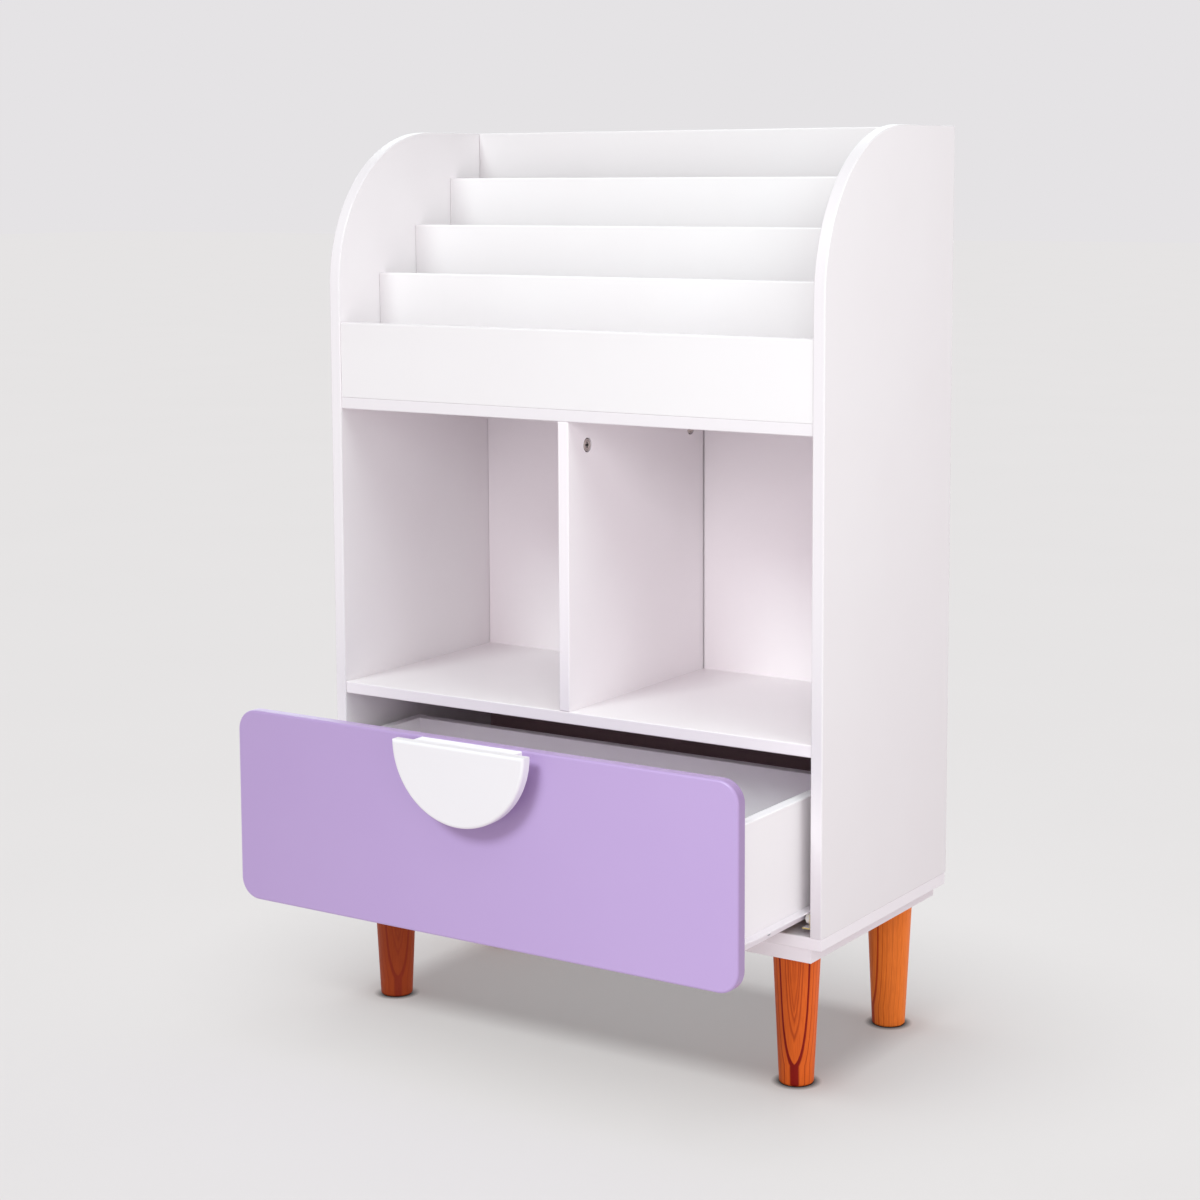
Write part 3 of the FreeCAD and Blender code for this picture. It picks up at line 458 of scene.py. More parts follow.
top_inputs = {MIX_SHARE: is_top, MIX_FIRST_WAY: dented, MIX_SECOND_WAY: way}
smooth_top = add_node(tree, "Mix", top_inputs, data_type="VECTOR").outputs[MIXED_WAY]
finish_surface(
    tree, {"Base Color": sheet_colour, "Roughness": HARDBOARD_ROUGHNESS, "Normal": smooth_top}
)
give(hardboard, "drawer_bottom")

# %% [markdown]
# ## Coated steel rails
# The drawer runs on rails of bent sheet steel. They are coated with white epoxy powder, which melts to a
# smooth skin with a slight waviness. Where the strip was cut to length after coating, bare steel shows with
# a yellow film of passivated zinc. The cut lies on the ends, which are the faces that look along the rail.

# %% White epoxy-coated steel
EPOXY_WHITE, CUT_YELLOW = "#F2EAF0", "#CDB564"
EPOXY_WAVE_MM, EPOXY_WAVE_DETAIL, EPOXY_WAVE_HEIGHT_MM = 2.2, 1.0, 0.015
EPOXY_ROUGHNESS, EPOXY_IOR, EPOXY_COAT = 0.28, 1.55, 0.3
CUT_START_SHARE, CUT_FULL_SHARE = 0.8, 0.95

epoxy_steel, tree, place = new_material("white_epoxy_coated_steel")
along_rail = add_node(tree, "SeparateXYZ", {0: place.outputs["Normal"]}).outputs["Y"]
end_on = add_node(tree, "Math", {0: along_rail}, operation="ABSOLUTE").outputs[0]
cut_range = {"Value": end_on, "From Min": CUT_START_SHARE, "From Max": CUT_FULL_SHARE}
is_cut = add_node(tree, "MapRange", cut_range).outputs[0]
coat_inputs = {MIX_SHARE: is_cut, MIX_FIRST: linear(EPOXY_WHITE), MIX_SECOND: linear(CUT_YELLOW)}
coat = add_node(tree, "Mix", coat_inputs, data_type="RGBA").outputs[MIXED]
point = place.outputs["Object"]
wave_inputs = {"Vector": point, "Scale": per_metre(EPOXY_WAVE_MM), "Detail": EPOXY_WAVE_DETAIL}
wave = add_node(tree, "TexNoise", wave_inputs).outputs["Fac"]
bump = add_node(tree, "Bump", {"Height": wave, "Distance": EPOXY_WAVE_HEIGHT_MM * MM}).outputs[0]
finish_surface(
    tree,
    {
        "Base Color": coat,
        "Roughness": EPOXY_ROUGHNESS,
        "Normal": bump,
        "IOR": EPOXY_IOR,
        "Coat Weight": EPOXY_COAT,
    },
)
give(epoxy_steel, "cabinet_rail_left", "cabinet_rail_right", "drawer_rail_left", "drawer_rail_right")

# %% [markdown]
# ## Plated and cast metal
# Three metals hold the bookshelf together. Steel bolts, screws and rivets are zinc plated, bright and
# bluish with a fine crystal. Cams are cast in a zinc alloy, warmer and grainy from the mould. The threaded
# inserts are turned brass. They differ in colour, in how rough they are and in the size of their grain, so
# one function makes them all. Real grain is finer than a pixel, so it is drawn many times too coarse. A
# metal keeps the default IOR. Oil and dust stay in the recess of a cam or screw, and the recess is painted
# darker still as shade, so the cells below write each point's depth under the face into the mesh, and the
# painted soil and shade follow it.

# %% Zinc-plated steel, zinc die casting and turned brass
DEPTH_NAME = "depth_mm"
GRAIN_HEIGHT_MM, METAL_DETAIL, ROUGHNESS_SPREAD = 0.012, 3.0, 0.2
# The near black of dirt and painted shade in a recess, and how deep it starts and is full.
SOIL_AND_SHADE, SOIL_AND_SHADE_SHARE = "#2A211E", 0.85
SOIL_AND_SHADE_START_MM, SOIL_AND_SHADE_FULL_MM = -0.6, -1.6
# Each metal: its bright colour, its dull colour, its roughness, the size of its grain in mm.
METALS = {
    "zinc_plated_steel": ("#C9CDD2", "#B2B6BC", 0.30, 0.8),
    "zinc_die_casting": ("#EBE1DB", "#CBC1BC", 0.45, 0.6),
    "turned_brass": ("#D8B468", "#BC944A", 0.28, 1.0),
}


def grained_metal(name, bright, dull, roughness, grain_mm):
    """A metal whose colour and roughness wander between two near values with the grain of its making."""
    material, tree, place = new_material(name)
    point = place.outputs["Object"]
    grain_inputs = {"Vector": point, "Scale": per_metre(grain_mm), "Detail": METAL_DETAIL}
    grain = add_node(tree, "TexNoise", grain_inputs).outputs["Fac"]
    clean_inputs = {MIX_SHARE: grain, MIX_FIRST: linear(bright), MIX_SECOND: linear(dull)}
    clean = add_node(tree, "Mix", clean_inputs, data_type="RGBA").outputs[MIXED]
    # Deeper in a recess the metal darkens towards near black: part dirt, part painted shade.
    depth = add_node(tree, "Attribute", attribute_name=DEPTH_NAME).outputs["Fac"]
    soil_and_shade_range = {"From Min": SOIL_AND_SHADE_START_MM, "From Max": SOIL_AND_SHADE_FULL_MM, "To Max": SOIL_AND_SHADE_SHARE}
    soiled_and_shaded = add_node(tree, "MapRange", {"Value": depth, **soil_and_shade_range}).outputs[0]
    metal_inputs = {MIX_SHARE: soiled_and_shaded, MIX_FIRST: clean, MIX_SECOND: linear(SOIL_AND_SHADE)}
    metal = add_node(tree, "Mix", metal_inputs, data_type="RGBA").outputs[MIXED]
    smoother, rougher = roughness * (1 - ROUGHNESS_SPREAD), roughness * (1 + ROUGHNESS_SPREAD)
    sheen_range = {"Value": grain, "To Min": smoother, "To Max": rougher}
    sheen = add_node(tree, "MapRange", sheen_range).outputs[0]
    bump = add_node(tree, "Bump", {"Height": grain, "Distance": GRAIN_HEIGHT_MM * MM}).outputs[0]
    finish_surface(tree, {"Base Color": metal, "Metallic": 1.0, "Roughness": sheen, "Normal": bump})
    return material


zinc_plate, zinc_casting, brass = (grained_metal(name, *look) for name, look in METALS.items())
give(zinc_plate, "leg_hanger_bolts", "divider_cam_bolts", "shelf_cam_bolts", "drawer_cam_bolts")
give(zinc_plate, "front_roller_rivets", "rear_roller_rivets")
give(brass, "leg_threaded_inserts")

# %% [markdown]
# ## Moulded nylon and beech
# The rollers are moulded nylon: milky and waxy, with a faint mottle from the mould, and a little
# translucent, so that light spreads just under the skin. The dowels are beech, pale pink-brown with short
# dark flecks along the grain.

# %% Moulded nylon
NYLON_WHITE, NYLON_SHADE = "#EFEBE4", "#E4DFD6"
MOTTLE_MM, MOTTLE_DETAIL = 0.8, 1.0
NYLON_ROUGHNESS, NYLON_IOR = 0.38, 1.53
NYLON_DEPTH_MM, NYLON_GLOW = 0.8, 0.12

nylon, tree, place = new_material("moulded_nylon")
point = place.outputs["Object"]
mottle_inputs = {"Vector": point, "Scale": per_metre(MOTTLE_MM), "Detail": MOTTLE_DETAIL}
mottle = add_node(tree, "TexNoise", mottle_inputs).outputs["Fac"]
milk_inputs = {MIX_SHARE: mottle, MIX_FIRST: linear(NYLON_WHITE), MIX_SECOND: linear(NYLON_SHADE)}
milk = add_node(tree, "Mix", milk_inputs, data_type="RGBA").outputs[MIXED]
finish_surface(
    tree,
    {
        "Base Color": milk,
        "Roughness": NYLON_ROUGHNESS,
        "IOR": NYLON_IOR,
        "Subsurface Weight": NYLON_GLOW,
        "Subsurface Scale": NYLON_DEPTH_MM * MM,
    },
)
give(nylon, "front_roller_left", "front_roller_right", "rear_roller_left", "rear_roller_right")

# %% Milled beech
BEECH, BEECH_FLECK = "#D9B38C", "#A97C55"
BEECH_FLECK_MM, BEECH_FLECK_LENGTH_MM = 0.5, 4.0
FLECK_START_SHARE, FLECK_FULL_SHARE = 0.5, 0.7
BEECH_ROUGHNESS = 0.55

beech, tree, place = new_material("milled_beech")
flecks = long_noise(tree, place, BEECH_FLECK_MM, BEECH_FLECK_LENGTH_MM).outputs["Fac"]
fleck_stops = ((FLECK_START_SHARE, linear(BEECH)), (FLECK_FULL_SHARE, linear(BEECH_FLECK)))
fleck_colour = add_node(tree, "ValToRGB", {0: flecks}, fleck_stops).outputs["Color"]
finish_surface(tree, {"Base Color": fleck_colour, "Roughness": BEECH_ROUGHNESS})
give(beech, "divider_dowels", "pocket_dowels")

# %% [markdown]
# ## Cams and screws
# A cam lock shows a round metal face with a cross for the screwdriver, a groove and a bevelled rim, and a
# screw shows a domed or sunk head with a smaller cross, and a thread. A smooth cylinder would give none of
# this. All of them are turned shapes, so a profile is carried round an axis. The rings inside the cross
# don't keep one radius: at each angle they reach as far as the cross does, so its walls are cut exactly.

# %% The angles and reach of a cross
QUARTERS, QUARTER_STEPS = 4, 3
QUARTER_TURN = math.pi / 2
# Stands in for nothing, which can't divide.
NEARLY_NOTHING = 1e-9
CAM_ARM, CAM_HALF_WIDTH = 3.4, 1.1


def cross_angles(arm, half_width):
    """Angles round the axis, with each corner of the cross among them and even steps between the corners."""
    corner = math.atan2(half_width, arm)
    corners = np.array((0.0, corner, QUARTER_TURN / 2, QUARTER_TURN - corner, QUARTER_TURN))
    steps = np.linspace(0.0, 1.0, QUARTER_STEPS, endpoint=False)
    quarter = (corners[:-1, None] + np.diff(corners)[:, None] * steps[None, :]).ravel()
    return (np.arange(QUARTERS)[:, None] * QUARTER_TURN + quarter[None, :]).ravel()


def cross_reach(angles, arm, half_width):
    """How far the cross reaches at each angle: the further of two bars, stopped by their ends and sides."""
    along = np.maximum(np.abs(np.cos(angles)), NEARLY_NOTHING)
    across = np.maximum(np.abs(np.sin(angles)), NEARLY_NOTHING)
    level_bar = np.minimum(arm / along, half_width / across)
    upright_bar = np.minimum(arm / across, half_width / along)
    return np.maximum(level_bar, upright_bar)


cam_turns = cross_angles(CAM_ARM, CAM_HALF_WIDTH)
cam_reach = cross_reach(cam_turns, CAM_ARM, CAM_HALF_WIDTH)
print("a cam's cross has", len(cam_turns), "angles and reaches", cam_reach.max().round(2), "mm")

# %% [markdown]
# The profile is a table of rings from the middle of the face outwards and then down the side. The rings of
# the cross are given as shares of its reach, the round ones as radii. A screw's thread is a ridge that
# climbs as it goes round: the angle and the height together say how near a point is to the crest.

# %% Carry a profile round its axis
THREAD_PITCH_MM, THREAD_RINGS = 2.0, 6
THREAD_CREST_MM, THREAD_ROOT_MM = 1.75, 1.2
CREST_SHARE, CREST_REACH_SHARE = 0.5, 0.25
POINT_LENGTH_MM = 4.0


def turned_rings(angles, reach, cross_rings, round_rings):
    """Radius and height of each ring at each angle: shares of the cross's reach first, then plain radii."""
    cross_rings = np.array(cross_rings)
    round_rings = np.array(round_rings)
    radii = np.concatenate(
        (cross_rings[:, :1] * reach[None, :], np.repeat(round_rings[:, :1], len(angles), axis=1))
    )
    heights = np.concatenate((cross_rings[:, 1], round_rings[:, 1]))
    return radii, np.repeat(heights[:, None], len(angles), axis=1)


def thread_rings(angles, start, end):
    """A thread between two heights: its root, plus a ridge where height and angle meet the crest."""
    count = int((start - end) / THREAD_PITCH_MM * THREAD_RINGS)
    heights = np.linspace(start, end, count)[:, None]
    turn = np.mod(heights / THREAD_PITCH_MM + angles[None, :] / math.tau, 1.0)
    ridge = np.clip(1 - np.abs(turn - CREST_SHARE) / CREST_REACH_SHARE, 0.0, 1.0)
    radii = THREAD_ROOT_MM + (THREAD_CREST_MM - THREAD_ROOT_MM) * ridge
    taper = np.clip((heights - end) / POINT_LENGTH_MM, 0.0, 1.0)
    return radii * taper, np.repeat(heights, len(angles), axis=1)


def ringed_mesh(angles, radii, heights):
    """Points and faces of a turned shape: rings joined by quads, closed at both ends by a fan."""
    rings, turns = radii.shape
    around = np.stack((radii * np.cos(angles), radii * np.sin(angles), heights), axis=-1).reshape(-1, 3)
    ends = np.array(((0.0, 0.0, heights[0, 0]), (0.0, 0.0, heights[-1, 0])))
    grid = np.arange(rings * turns).reshape(rings, turns)
    turned = np.roll(grid, -1, axis=1)
    quads = np.stack((grid[:-1], grid[1:], turned[1:], turned[:-1]), axis=-1).reshape(-1, 4)
    top, foot = rings * turns, rings * turns + 1
    top_fan = np.stack((np.full(turns, top), grid[0], turned[0]), axis=-1)
    foot_fan = np.stack((np.full(turns, foot), turned[-1], grid[-1]), axis=-1)
    return np.concatenate((around, ends)), quads, np.concatenate((top_fan, foot_fan))


print("a thread climbs", THREAD_PITCH_MM, "mm a turn, in", THREAD_RINGS, "rings")

# %% [markdown]
# One turned shape serves a whole row of screws. Each copy is turned a little further round its own axis,
# because nobody stops a screwdriver at the same angle twice, then laid to face the way its hole does.

# %% Set copies of a turned shape in their holes
SCREWDRIVER_TURN = 0.7
SMOOTH_ANGLE = math.radians(38)
LEVEL_LIMIT = 0.5


def facing_frame(outward):
    """Three directions at right angles as columns, the third of them outward."""
    outward = np.array(outward, float)
    is_level = abs(outward[2]) < LEVEL_LIMIT
    upright = np.array((0.0, 0.0, 1.0)) if is_level else np.array((1.0, 0.0, 0.0))
    first = np.cross(upright, outward)
    return np.stack((first, np.cross(outward, first), outward), axis=-1)


def set_in_holes(name, shape, seats):
    """One object with a copy of the shape at each seat: a seat is a point in millimetres and a direction."""
    points, quads, fans = shape
    spin = np.arange(len(seats)) * SCREWDRIVER_TURN
    turn = np.zeros((len(seats), 3, 3))
    turn[:, 0, 0], turn[:, 0, 1] = np.cos(spin), -np.sin(spin)
    turn[:, 1, 0], turn[:, 1, 1] = np.sin(spin), np.cos(spin)
    turn[:, 2, 2] = 1.0
    frames = np.stack([facing_frame(outward) for place, outward in seats]) @ turn
    places = np.array([place for place, outward in seats], float)
    placed = np.einsum("sij,vj->svi", frames, points) + places[:, None, :]
    shift = np.arange(len(seats))[:, None, None] * len(points)
    faces = (quads[None] + shift).reshape(-1, 4).tolist() + (fans[None] + shift).reshape(-1, 3).tolist()
    mesh = bpy.data.meshes.new(name)
    mesh.from_pydata((placed.reshape(-1, 3) * MM).tolist(), [], faces)
    mesh.polygons.foreach_set("use_smooth", np.ones(len(mesh.polygons), bool))
    mesh.set_sharp_from_angle(angle=SMOOTH_ANGLE)
    depth = mesh.attributes.new(DEPTH_NAME, "FLOAT", "POINT")
    depth.data.foreach_set("value", np.tile(points[:, 2], len(seats)))
    piece = bpy.data.objects.new(name, mesh)
    scene.collection.objects.link(piece)
    return piece


def fit(piece, material, body, node):
    """Finishes a new piece: its material, the body that it rides on, the CAD piece that it stands for."""
    piece.data.materials.append(material)
    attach(piece, body)
    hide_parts(node)
    print(piece.name, "has", len(piece.data.polygons), "faces")


print("each copy is turned", SCREWDRIVER_TURN, "radians further than the last")

# %% [markdown]
# The cams are 15 mm across. Two show at the top of the divider, four hide under each shelf, and four hold
# the drawer's sides to its front. The rim sits a hair below the board, with a bevel that leaves the dark
# ring seen round a real cam.

# %% Cam locks
CAM_RADIUS, CAM_DEPTH = 7.5, 9.5
CAM_SETBACK, CAM_INSET = 26.5, 36.0
# A ring of the cross: its share of the reach, its height in mm. A round ring: its radius and height in mm.
CAM_CROSS_RINGS = ((0.45, -4.6), (0.92, -4.2), (1.0, -0.9), (1.08, -0.45))
CAM_ROUND_RINGS = (
    (4.5, -0.45), (4.7, -1.0), (5.0, -1.0), (5.2, -0.3), (5.9, -0.3), (6.2, -0.7), (6.45, -2.0),
    (7.45, -2.2), (7.45, -9.3), (7.2, -9.5),
)
cam = ringed_mesh(cam_turns, *turned_rings(cam_turns, cam_reach, CAM_CROSS_RINGS, CAM_ROUND_RINGS))

low, high = span_mm("divider_cam_locks")
divider_seats = [
    ((high[0], y, (low[2] + high[2]) / 2), (1, 0, 0)) for y in (low[1] + CAM_RADIUS, high[1] - CAM_RADIUS)
]
fit(set_in_holes("divider_cams", cam, divider_seats), zinc_casting, "carcass", "divider_cam_locks")

shelf_seats = []
for shelf in ("drawer_bay_shelf", "pocket_shelf"):
    low, high = span_mm(shelf)
    for x in (low[0] + CAM_SETBACK, high[0] - CAM_SETBACK):
        for y in (low[1] + CAM_INSET, high[1] - CAM_INSET):
            shelf_seats.append(((x, y, low[2]), (0, 0, -1)))
fit(set_in_holes("shelf_cams", cam, shelf_seats), zinc_casting, "carcass", "shelf_cam_locks")

low, high = span_mm("drawer_cam_locks")
drawer_seats = [
    ((side * (high[0] - CAM_DEPTH), (low[1] + high[1]) / 2, z), (-side, 0, 0))
    for side in (-1, 1)
    for z in (low[2] + CAM_RADIUS, high[2] - CAM_RADIUS)
]
fit(set_in_holes("drawer_cams", cam, drawer_seats), zinc_casting, "drawer", "drawer_cam_locks")

# %% [markdown]
# Sunk screws pull the boards together from below and behind, and their cone lies flush in the board. Pan
# screws hold the steel rails and the handle, and their dome stands on the metal. Both have a thread.

# %% Two kinds of wood screw
SUNK_RADIUS, SUNK_CONE_MM = 3.4, 2.2
PAN_RADIUS, PAN_HEIGHT_MM = 3.0, 1.2
SHANK_RADIUS, NECK_MM = 1.75, 0.2
SCREW_ARM, SCREW_HALF_WIDTH = 1.7, 0.42
SUNK_CROSS_RINGS = ((0.4, -1.9), (0.85, -1.5), (1.0, -0.1))
SUNK_ROUND_RINGS = ((2.4, -0.1), (3.1, -0.1), (SUNK_RADIUS, -0.3), (SHANK_RADIUS, -SUNK_CONE_MM))
PAN_CROSS_RINGS = ((0.4, 0.15), (0.85, 0.3), (1.0, PAN_HEIGHT_MM))
PAN_ROUND_RINGS = (
    (1.9, PAN_HEIGHT_MM), (2.4, 1.08), (2.8, 0.72), (2.97, 0.3), (PAN_RADIUS, 0.0), (SHANK_RADIUS, 0.0),
)
screw_turns = cross_angles(SCREW_ARM, SCREW_HALF_WIDTH)
screw_reach = cross_reach(screw_turns, SCREW_ARM, SCREW_HALF_WIDTH)


def wood_screw(cross_rings, round_rings, length):
    """A screw of one length: its head's rings, then its thread down to the point."""
    head_radii, head_heights = turned_rings(screw_turns, screw_reach, cross_rings, round_rings)
    radii, heights = thread_rings(screw_turns, head_heights[-1, 0] - NECK_MM, -length)
    return ringed_mesh(
        screw_turns, np.concatenate((head_radii, radii)), np.concatenate((head_heights, heights))
    )


print("heads:", 2 * SUNK_RADIUS, "mm sunk and", 2 * PAN_RADIUS, "mm domed")

# %% [markdown]
# The seats follow from the boxes of the CAD screws: a box ends a head's radius beyond the outer screws. A
# screw's length is its box's too, except where one box holds the screws of both sides.

# %% Sunk screws
EVEN_SHARES = {2: (0.0, 1.0), 3: (0.0, 0.5, 1.0)}
BACK_SHARES = (0.0, 0.357, 0.643, 1.0)
DRAWER_BACK_SCREW_MM = 46.0


def row(low, high, shares, margin):
    """Places along a box's side, a margin in from each end, at shares of what lies between."""
    return [low + margin + (high - low - 2 * margin) * share for share in shares]


for name, columns in (("base_board_screws", 3), ("side_panel_screws", 2)):
    low, high = span_mm(name)
    seats = [
        ((x, y, low[2]), (0, 0, -1))
        for x in row(low[0], high[0], EVEN_SHARES[columns], SUNK_RADIUS)
        for y in row(low[1], high[1], EVEN_SHARES[2], SUNK_RADIUS)
    ]
    shape = wood_screw(SUNK_CROSS_RINGS, SUNK_ROUND_RINGS, high[2] - low[2])
    fit(set_in_holes("driven_" + name, shape, seats), zinc_plate, "carcass", name)

low, high = span_mm("back_board_screws")
seats = [
    ((x, high[1], (low[2] + high[2]) / 2), (0, 1, 0)) for x in row(low[0], high[0], BACK_SHARES, SUNK_RADIUS)
]
shape = wood_screw(SUNK_CROSS_RINGS, SUNK_ROUND_RINGS, high[1] - low[1])
fit(set_in_holes("driven_back_board_screws", shape, seats), zinc_plate, "carcass", "back_board_screws")

low, high = span_mm("drawer_back_screws")
seats = [
    ((side * high[0], (low[1] + high[1]) / 2, z), (side, 0, 0))
    for side in (-1, 1)
    for z in row(low[2], high[2], EVEN_SHARES[2], SUNK_RADIUS)
]
shape = wood_screw(SUNK_CROSS_RINGS, SUNK_ROUND_RINGS, DRAWER_BACK_SCREW_MM)
fit(set_in_holes("driven_drawer_back_screws", shape, seats), zinc_plate, "drawer", "drawer_back_screws")

# %% Pan-head screws
RAIL_SCREW_MM = 10.7
# Each row of rail screws: its body, which way its heads look from the middle, how many lie along a rail.
RAIL_SCREWS = {"cabinet_rail_screws": ("carcass", -1, 3), "drawer_rail_screws": ("drawer", 1, 2)}

for name, (body, outward, columns) in RAIL_SCREWS.items():
    low, high = span_mm(name)
    seat_x = high[0] - (PAN_HEIGHT_MM if outward > 0 else RAIL_SCREW_MM)
    seats = [
        ((side * seat_x, y, (low[2] + high[2]) / 2), (side * outward, 0, 0))
        for side in (-1, 1)
        for y in row(low[1], high[1], EVEN_SHARES[columns], PAN_RADIUS)
    ]
    shape = wood_screw(PAN_CROSS_RINGS, PAN_ROUND_RINGS, RAIL_SCREW_MM)
    fit(set_in_holes("driven_" + name, shape, seats), zinc_plate, body, name)

low, high = span_mm("handle_screws")
seats = [
    ((x, high[1] - PAN_HEIGHT_MM, (low[2] + high[2]) / 2), (0, 1, 0))
    for x in row(low[0], high[0], EVEN_SHARES[2], PAN_RADIUS)
]
shape = wood_screw(PAN_CROSS_RINGS, PAN_ROUND_RINGS, high[1] - low[1] - PAN_HEIGHT_MM)
fit(set_in_holes("driven_handle_screws", shape, seats), zinc_plate, "drawer", "handle_screws")

# %% [markdown]
# ## A pale floor
# The bookshelf stands on a wide sheet of pale matt paper. A studio lights such a sheet from below as well,
# so that its shadows stay soft and grey; a faint glow of the paper does the same here. Close to a foot the
# paper's colour and glow are darkened by how closed in it is there: a painted contact shadow, a narrow dark
# line that sets the legs firmly on the ground. The fourth foot stands behind the drawer, where an end of its
# line would look like a stain, so there the line is left out.

# %% The floor
PAPER, PAPER_CLOUD = "#BABBBA", "#B8B9B8"
PAPER_GLOW = 0.37
PAPER_CLOUD_MM, PAPER_CLOUD_DETAIL = 400.0, 2.0
FLOOR_HALF_WIDTH = 30.0
CONTACT_MM, CONTACT_POWER = 9.0, 2.5
HIDDEN_CORNER_WAY, HIDDEN_START, HIDDEN_END = (-0.8, 1.0, 0.0), 0.18, 0.22

corners = np.array(((-1, -1), (1, -1), (1, 1), (-1, 1)), float) * FLOOR_HALF_WIDTH
floor_mesh = bpy.data.meshes.new("paper_floor")
floor_mesh.from_pydata(np.column_stack((corners, np.zeros(len(corners)))).tolist(), [], [(0, 1, 2, 3)])
floor = bpy.data.objects.new("paper_floor", floor_mesh)
scene.collection.objects.link(floor)
paper, tree, place = new_material("matt_paper")
point = place.outputs["Object"]
cloud_inputs = {"Vector": point, "Scale": per_metre(PAPER_CLOUD_MM), "Detail": PAPER_CLOUD_DETAIL}
cloud = add_node(tree, "TexNoise", cloud_inputs).outputs["Fac"]
sheet_inputs = {MIX_SHARE: cloud, MIX_FIRST: linear(PAPER), MIX_SECOND: linear(PAPER_CLOUD)}
sheet = add_node(tree, "Mix", sheet_inputs, data_type="RGBA").outputs[MIXED]
# Painted contact shadow: near a foot the occlusion darkens the paper's colour and its glow.
openness = add_node(tree, "AmbientOcclusion", {"Distance": CONTACT_MM * MM}).outputs["AO"]
narrowed = add_node(tree, "Math", {0: openness, 1: CONTACT_POWER}, operation="POWER").outputs[0]
corner_inputs = {0: point, 1: HIDDEN_CORNER_WAY}
to_corner = add_node(tree, "VectorMath", corner_inputs, operation="DOT_PRODUCT").outputs["Value"]
hidden_range = {"From Min": HIDDEN_START, "From Max": HIDDEN_END, "To Min": narrowed, "To Max": 1.0}
lit_share = add_node(tree, "MapRange", {"Value": to_corner, **hidden_range}).outputs[0]
contact_shaded_sheet = add_node(tree, "VectorMath", {0: sheet, "Scale": lit_share}, operation="SCALE").outputs[0]
glow = add_node(tree, "Math", {0: lit_share, 1: PAPER_GLOW}, operation="MULTIPLY").outputs[0]
finish_surface(
    tree,
    {
        "Base Color": contact_shaded_sheet,
        "Roughness": 1.0,
        "Specular IOR Level": 0.0,
        "Emission Color": linear(PAPER),
        "Emission Strength": glow,
    },
)
floor_mesh.materials.append(paper)
print("floor half width:", FLOOR_HALF_WIDTH, "m")

# %% [markdown]
# ## Soft studio light
# The room is a plain pale box, which gives an even, slightly pink light from all around. The camera sees it
# as the same tone as the floor, so that no horizon shows.

# %% The room
ROOM_LIGHT = (0.385, 0.335, 0.355, 1.0)
BACKDROP = "#E5E3E5"

scene.view_settings.view_transform = "Standard"
scene.view_settings.look = "None"
world = bpy.data.worlds.new("studio_room")
scene.world = world
world.use_nodes = True
tree = world.node_tree
tree.nodes.clear()
room = add_node(tree, "Background", {"Color": ROOM_LIGHT}).outputs[0]
wall = add_node(tree, "Background", {"Color": linear(BACKDROP)}).outputs[0]
is_seen = add_node(tree, "LightPath").outputs["Is Camera Ray"]
surround = add_node(tree, "MixShader", {0: is_seen, 1: room, 2: wall})
add_node(tree, "OutputWorld", {"Surface": surround.outputs[0]})
print("room light:", ROOM_LIGHT[:3])

# %% [markdown]
# A photographer sets flags and reflectors so that a lamp reaches one part of the object and not another.
# Light linking does the same: a collection lists the pieces that a light reaches, or those that it leaves
# out. The floor is left out of all lights but its own, and the drawer doesn't block that one, so that the
# shadow lies softly between the legs.

# %% Flags and reflectors


def receivers(name, members, state="INCLUDE"):
    """A collection of the pieces that a light reaches or, with the state EXCLUDE, of those it leaves out."""
    collection = bpy.data.collections.new(name)
    for member in members:
        collection.objects.link(member)
    for link in collection.collection_objects:
        link.light_linking.link_state = state
    return collection


def pieces(*names):
    """The CAD pieces with these names."""
    return [nodes[name] for name in names]


all_but_floor = receivers("all_but_floor", [floor], "EXCLUDE")
all_but_face = receivers("all_but_floor_and_drawer_front", [floor] + pieces("drawer_front"), "EXCLUDE")
side_panels = pieces("side_panel_left", "side_panel_right")
all_but_sides = receivers("all_but_floor_and_sides", [floor] + side_panels, "EXCLUDE")
only_floor = receivers("only_floor", [floor])
drawer_names = [name for name in nodes if name.startswith(("drawer_", "handle_"))]
drawer_names.remove("drawer_bay_shelf")
all_but_drawer = receivers("all_but_drawer", pieces(*drawer_names), "EXCLUDE")
drawer_face = receivers("drawer_face", pieces("drawer_front"))
drawer_tops = receivers("drawer_tops", pieces("drawer_side_left", "drawer_side_right", "handle_spacer"))
compartment_boards = pieces("compartment_divider", "drawer_bay_shelf", "lower_back_board")
compartments = receivers("compartments", compartment_boards)
deep_back = receivers("deep_back", pieces("lower_back_board"))
pocket_boards = pieces("pocket_divider_front", "pocket_divider_middle", "pocket_divider_rear")
pockets = receivers("pockets", pocket_boards + pieces("side_panel_left"))
legs = receivers("legs", pieces(*LEG_WOODS_AND_SHADE))
base = receivers("base", pieces("base_board", "bottom_board"))
print("collections:", len(bpy.data.collections))

# %% [markdown]
# Far lights are even all over. The key light comes from the front, high and a little from the left, and
# throws the short shadow under the handle. The ceiling lights what looks up, another light from above picks
# out the drawer's top edges, and the back light keeps the rear from going dull. Soft boxes fade with
# distance: one beside the camera, one high on the right that lights the side panel more at the top than at
# the foot, one low on the right, and small ones for the compartments, their back, the pockets, the base and
# the legs. A last lamp, in a snoot, follows the key light on to the drawer front alone. It deepens the
# handle's shadow and, being aimed to one side, makes the lilac brighter towards the right.

# %% Lights
COOL_WHITE, WHITE, ROSE_WHITE = (0.86, 1.0, 0.955), (1.0, 1.0, 1.0), (1.0, 0.92, 0.97)
CENTRE = Vector((0.0, 0.0, 0.5))
KEY_WAY = (-0.16, -0.76, 0.62)
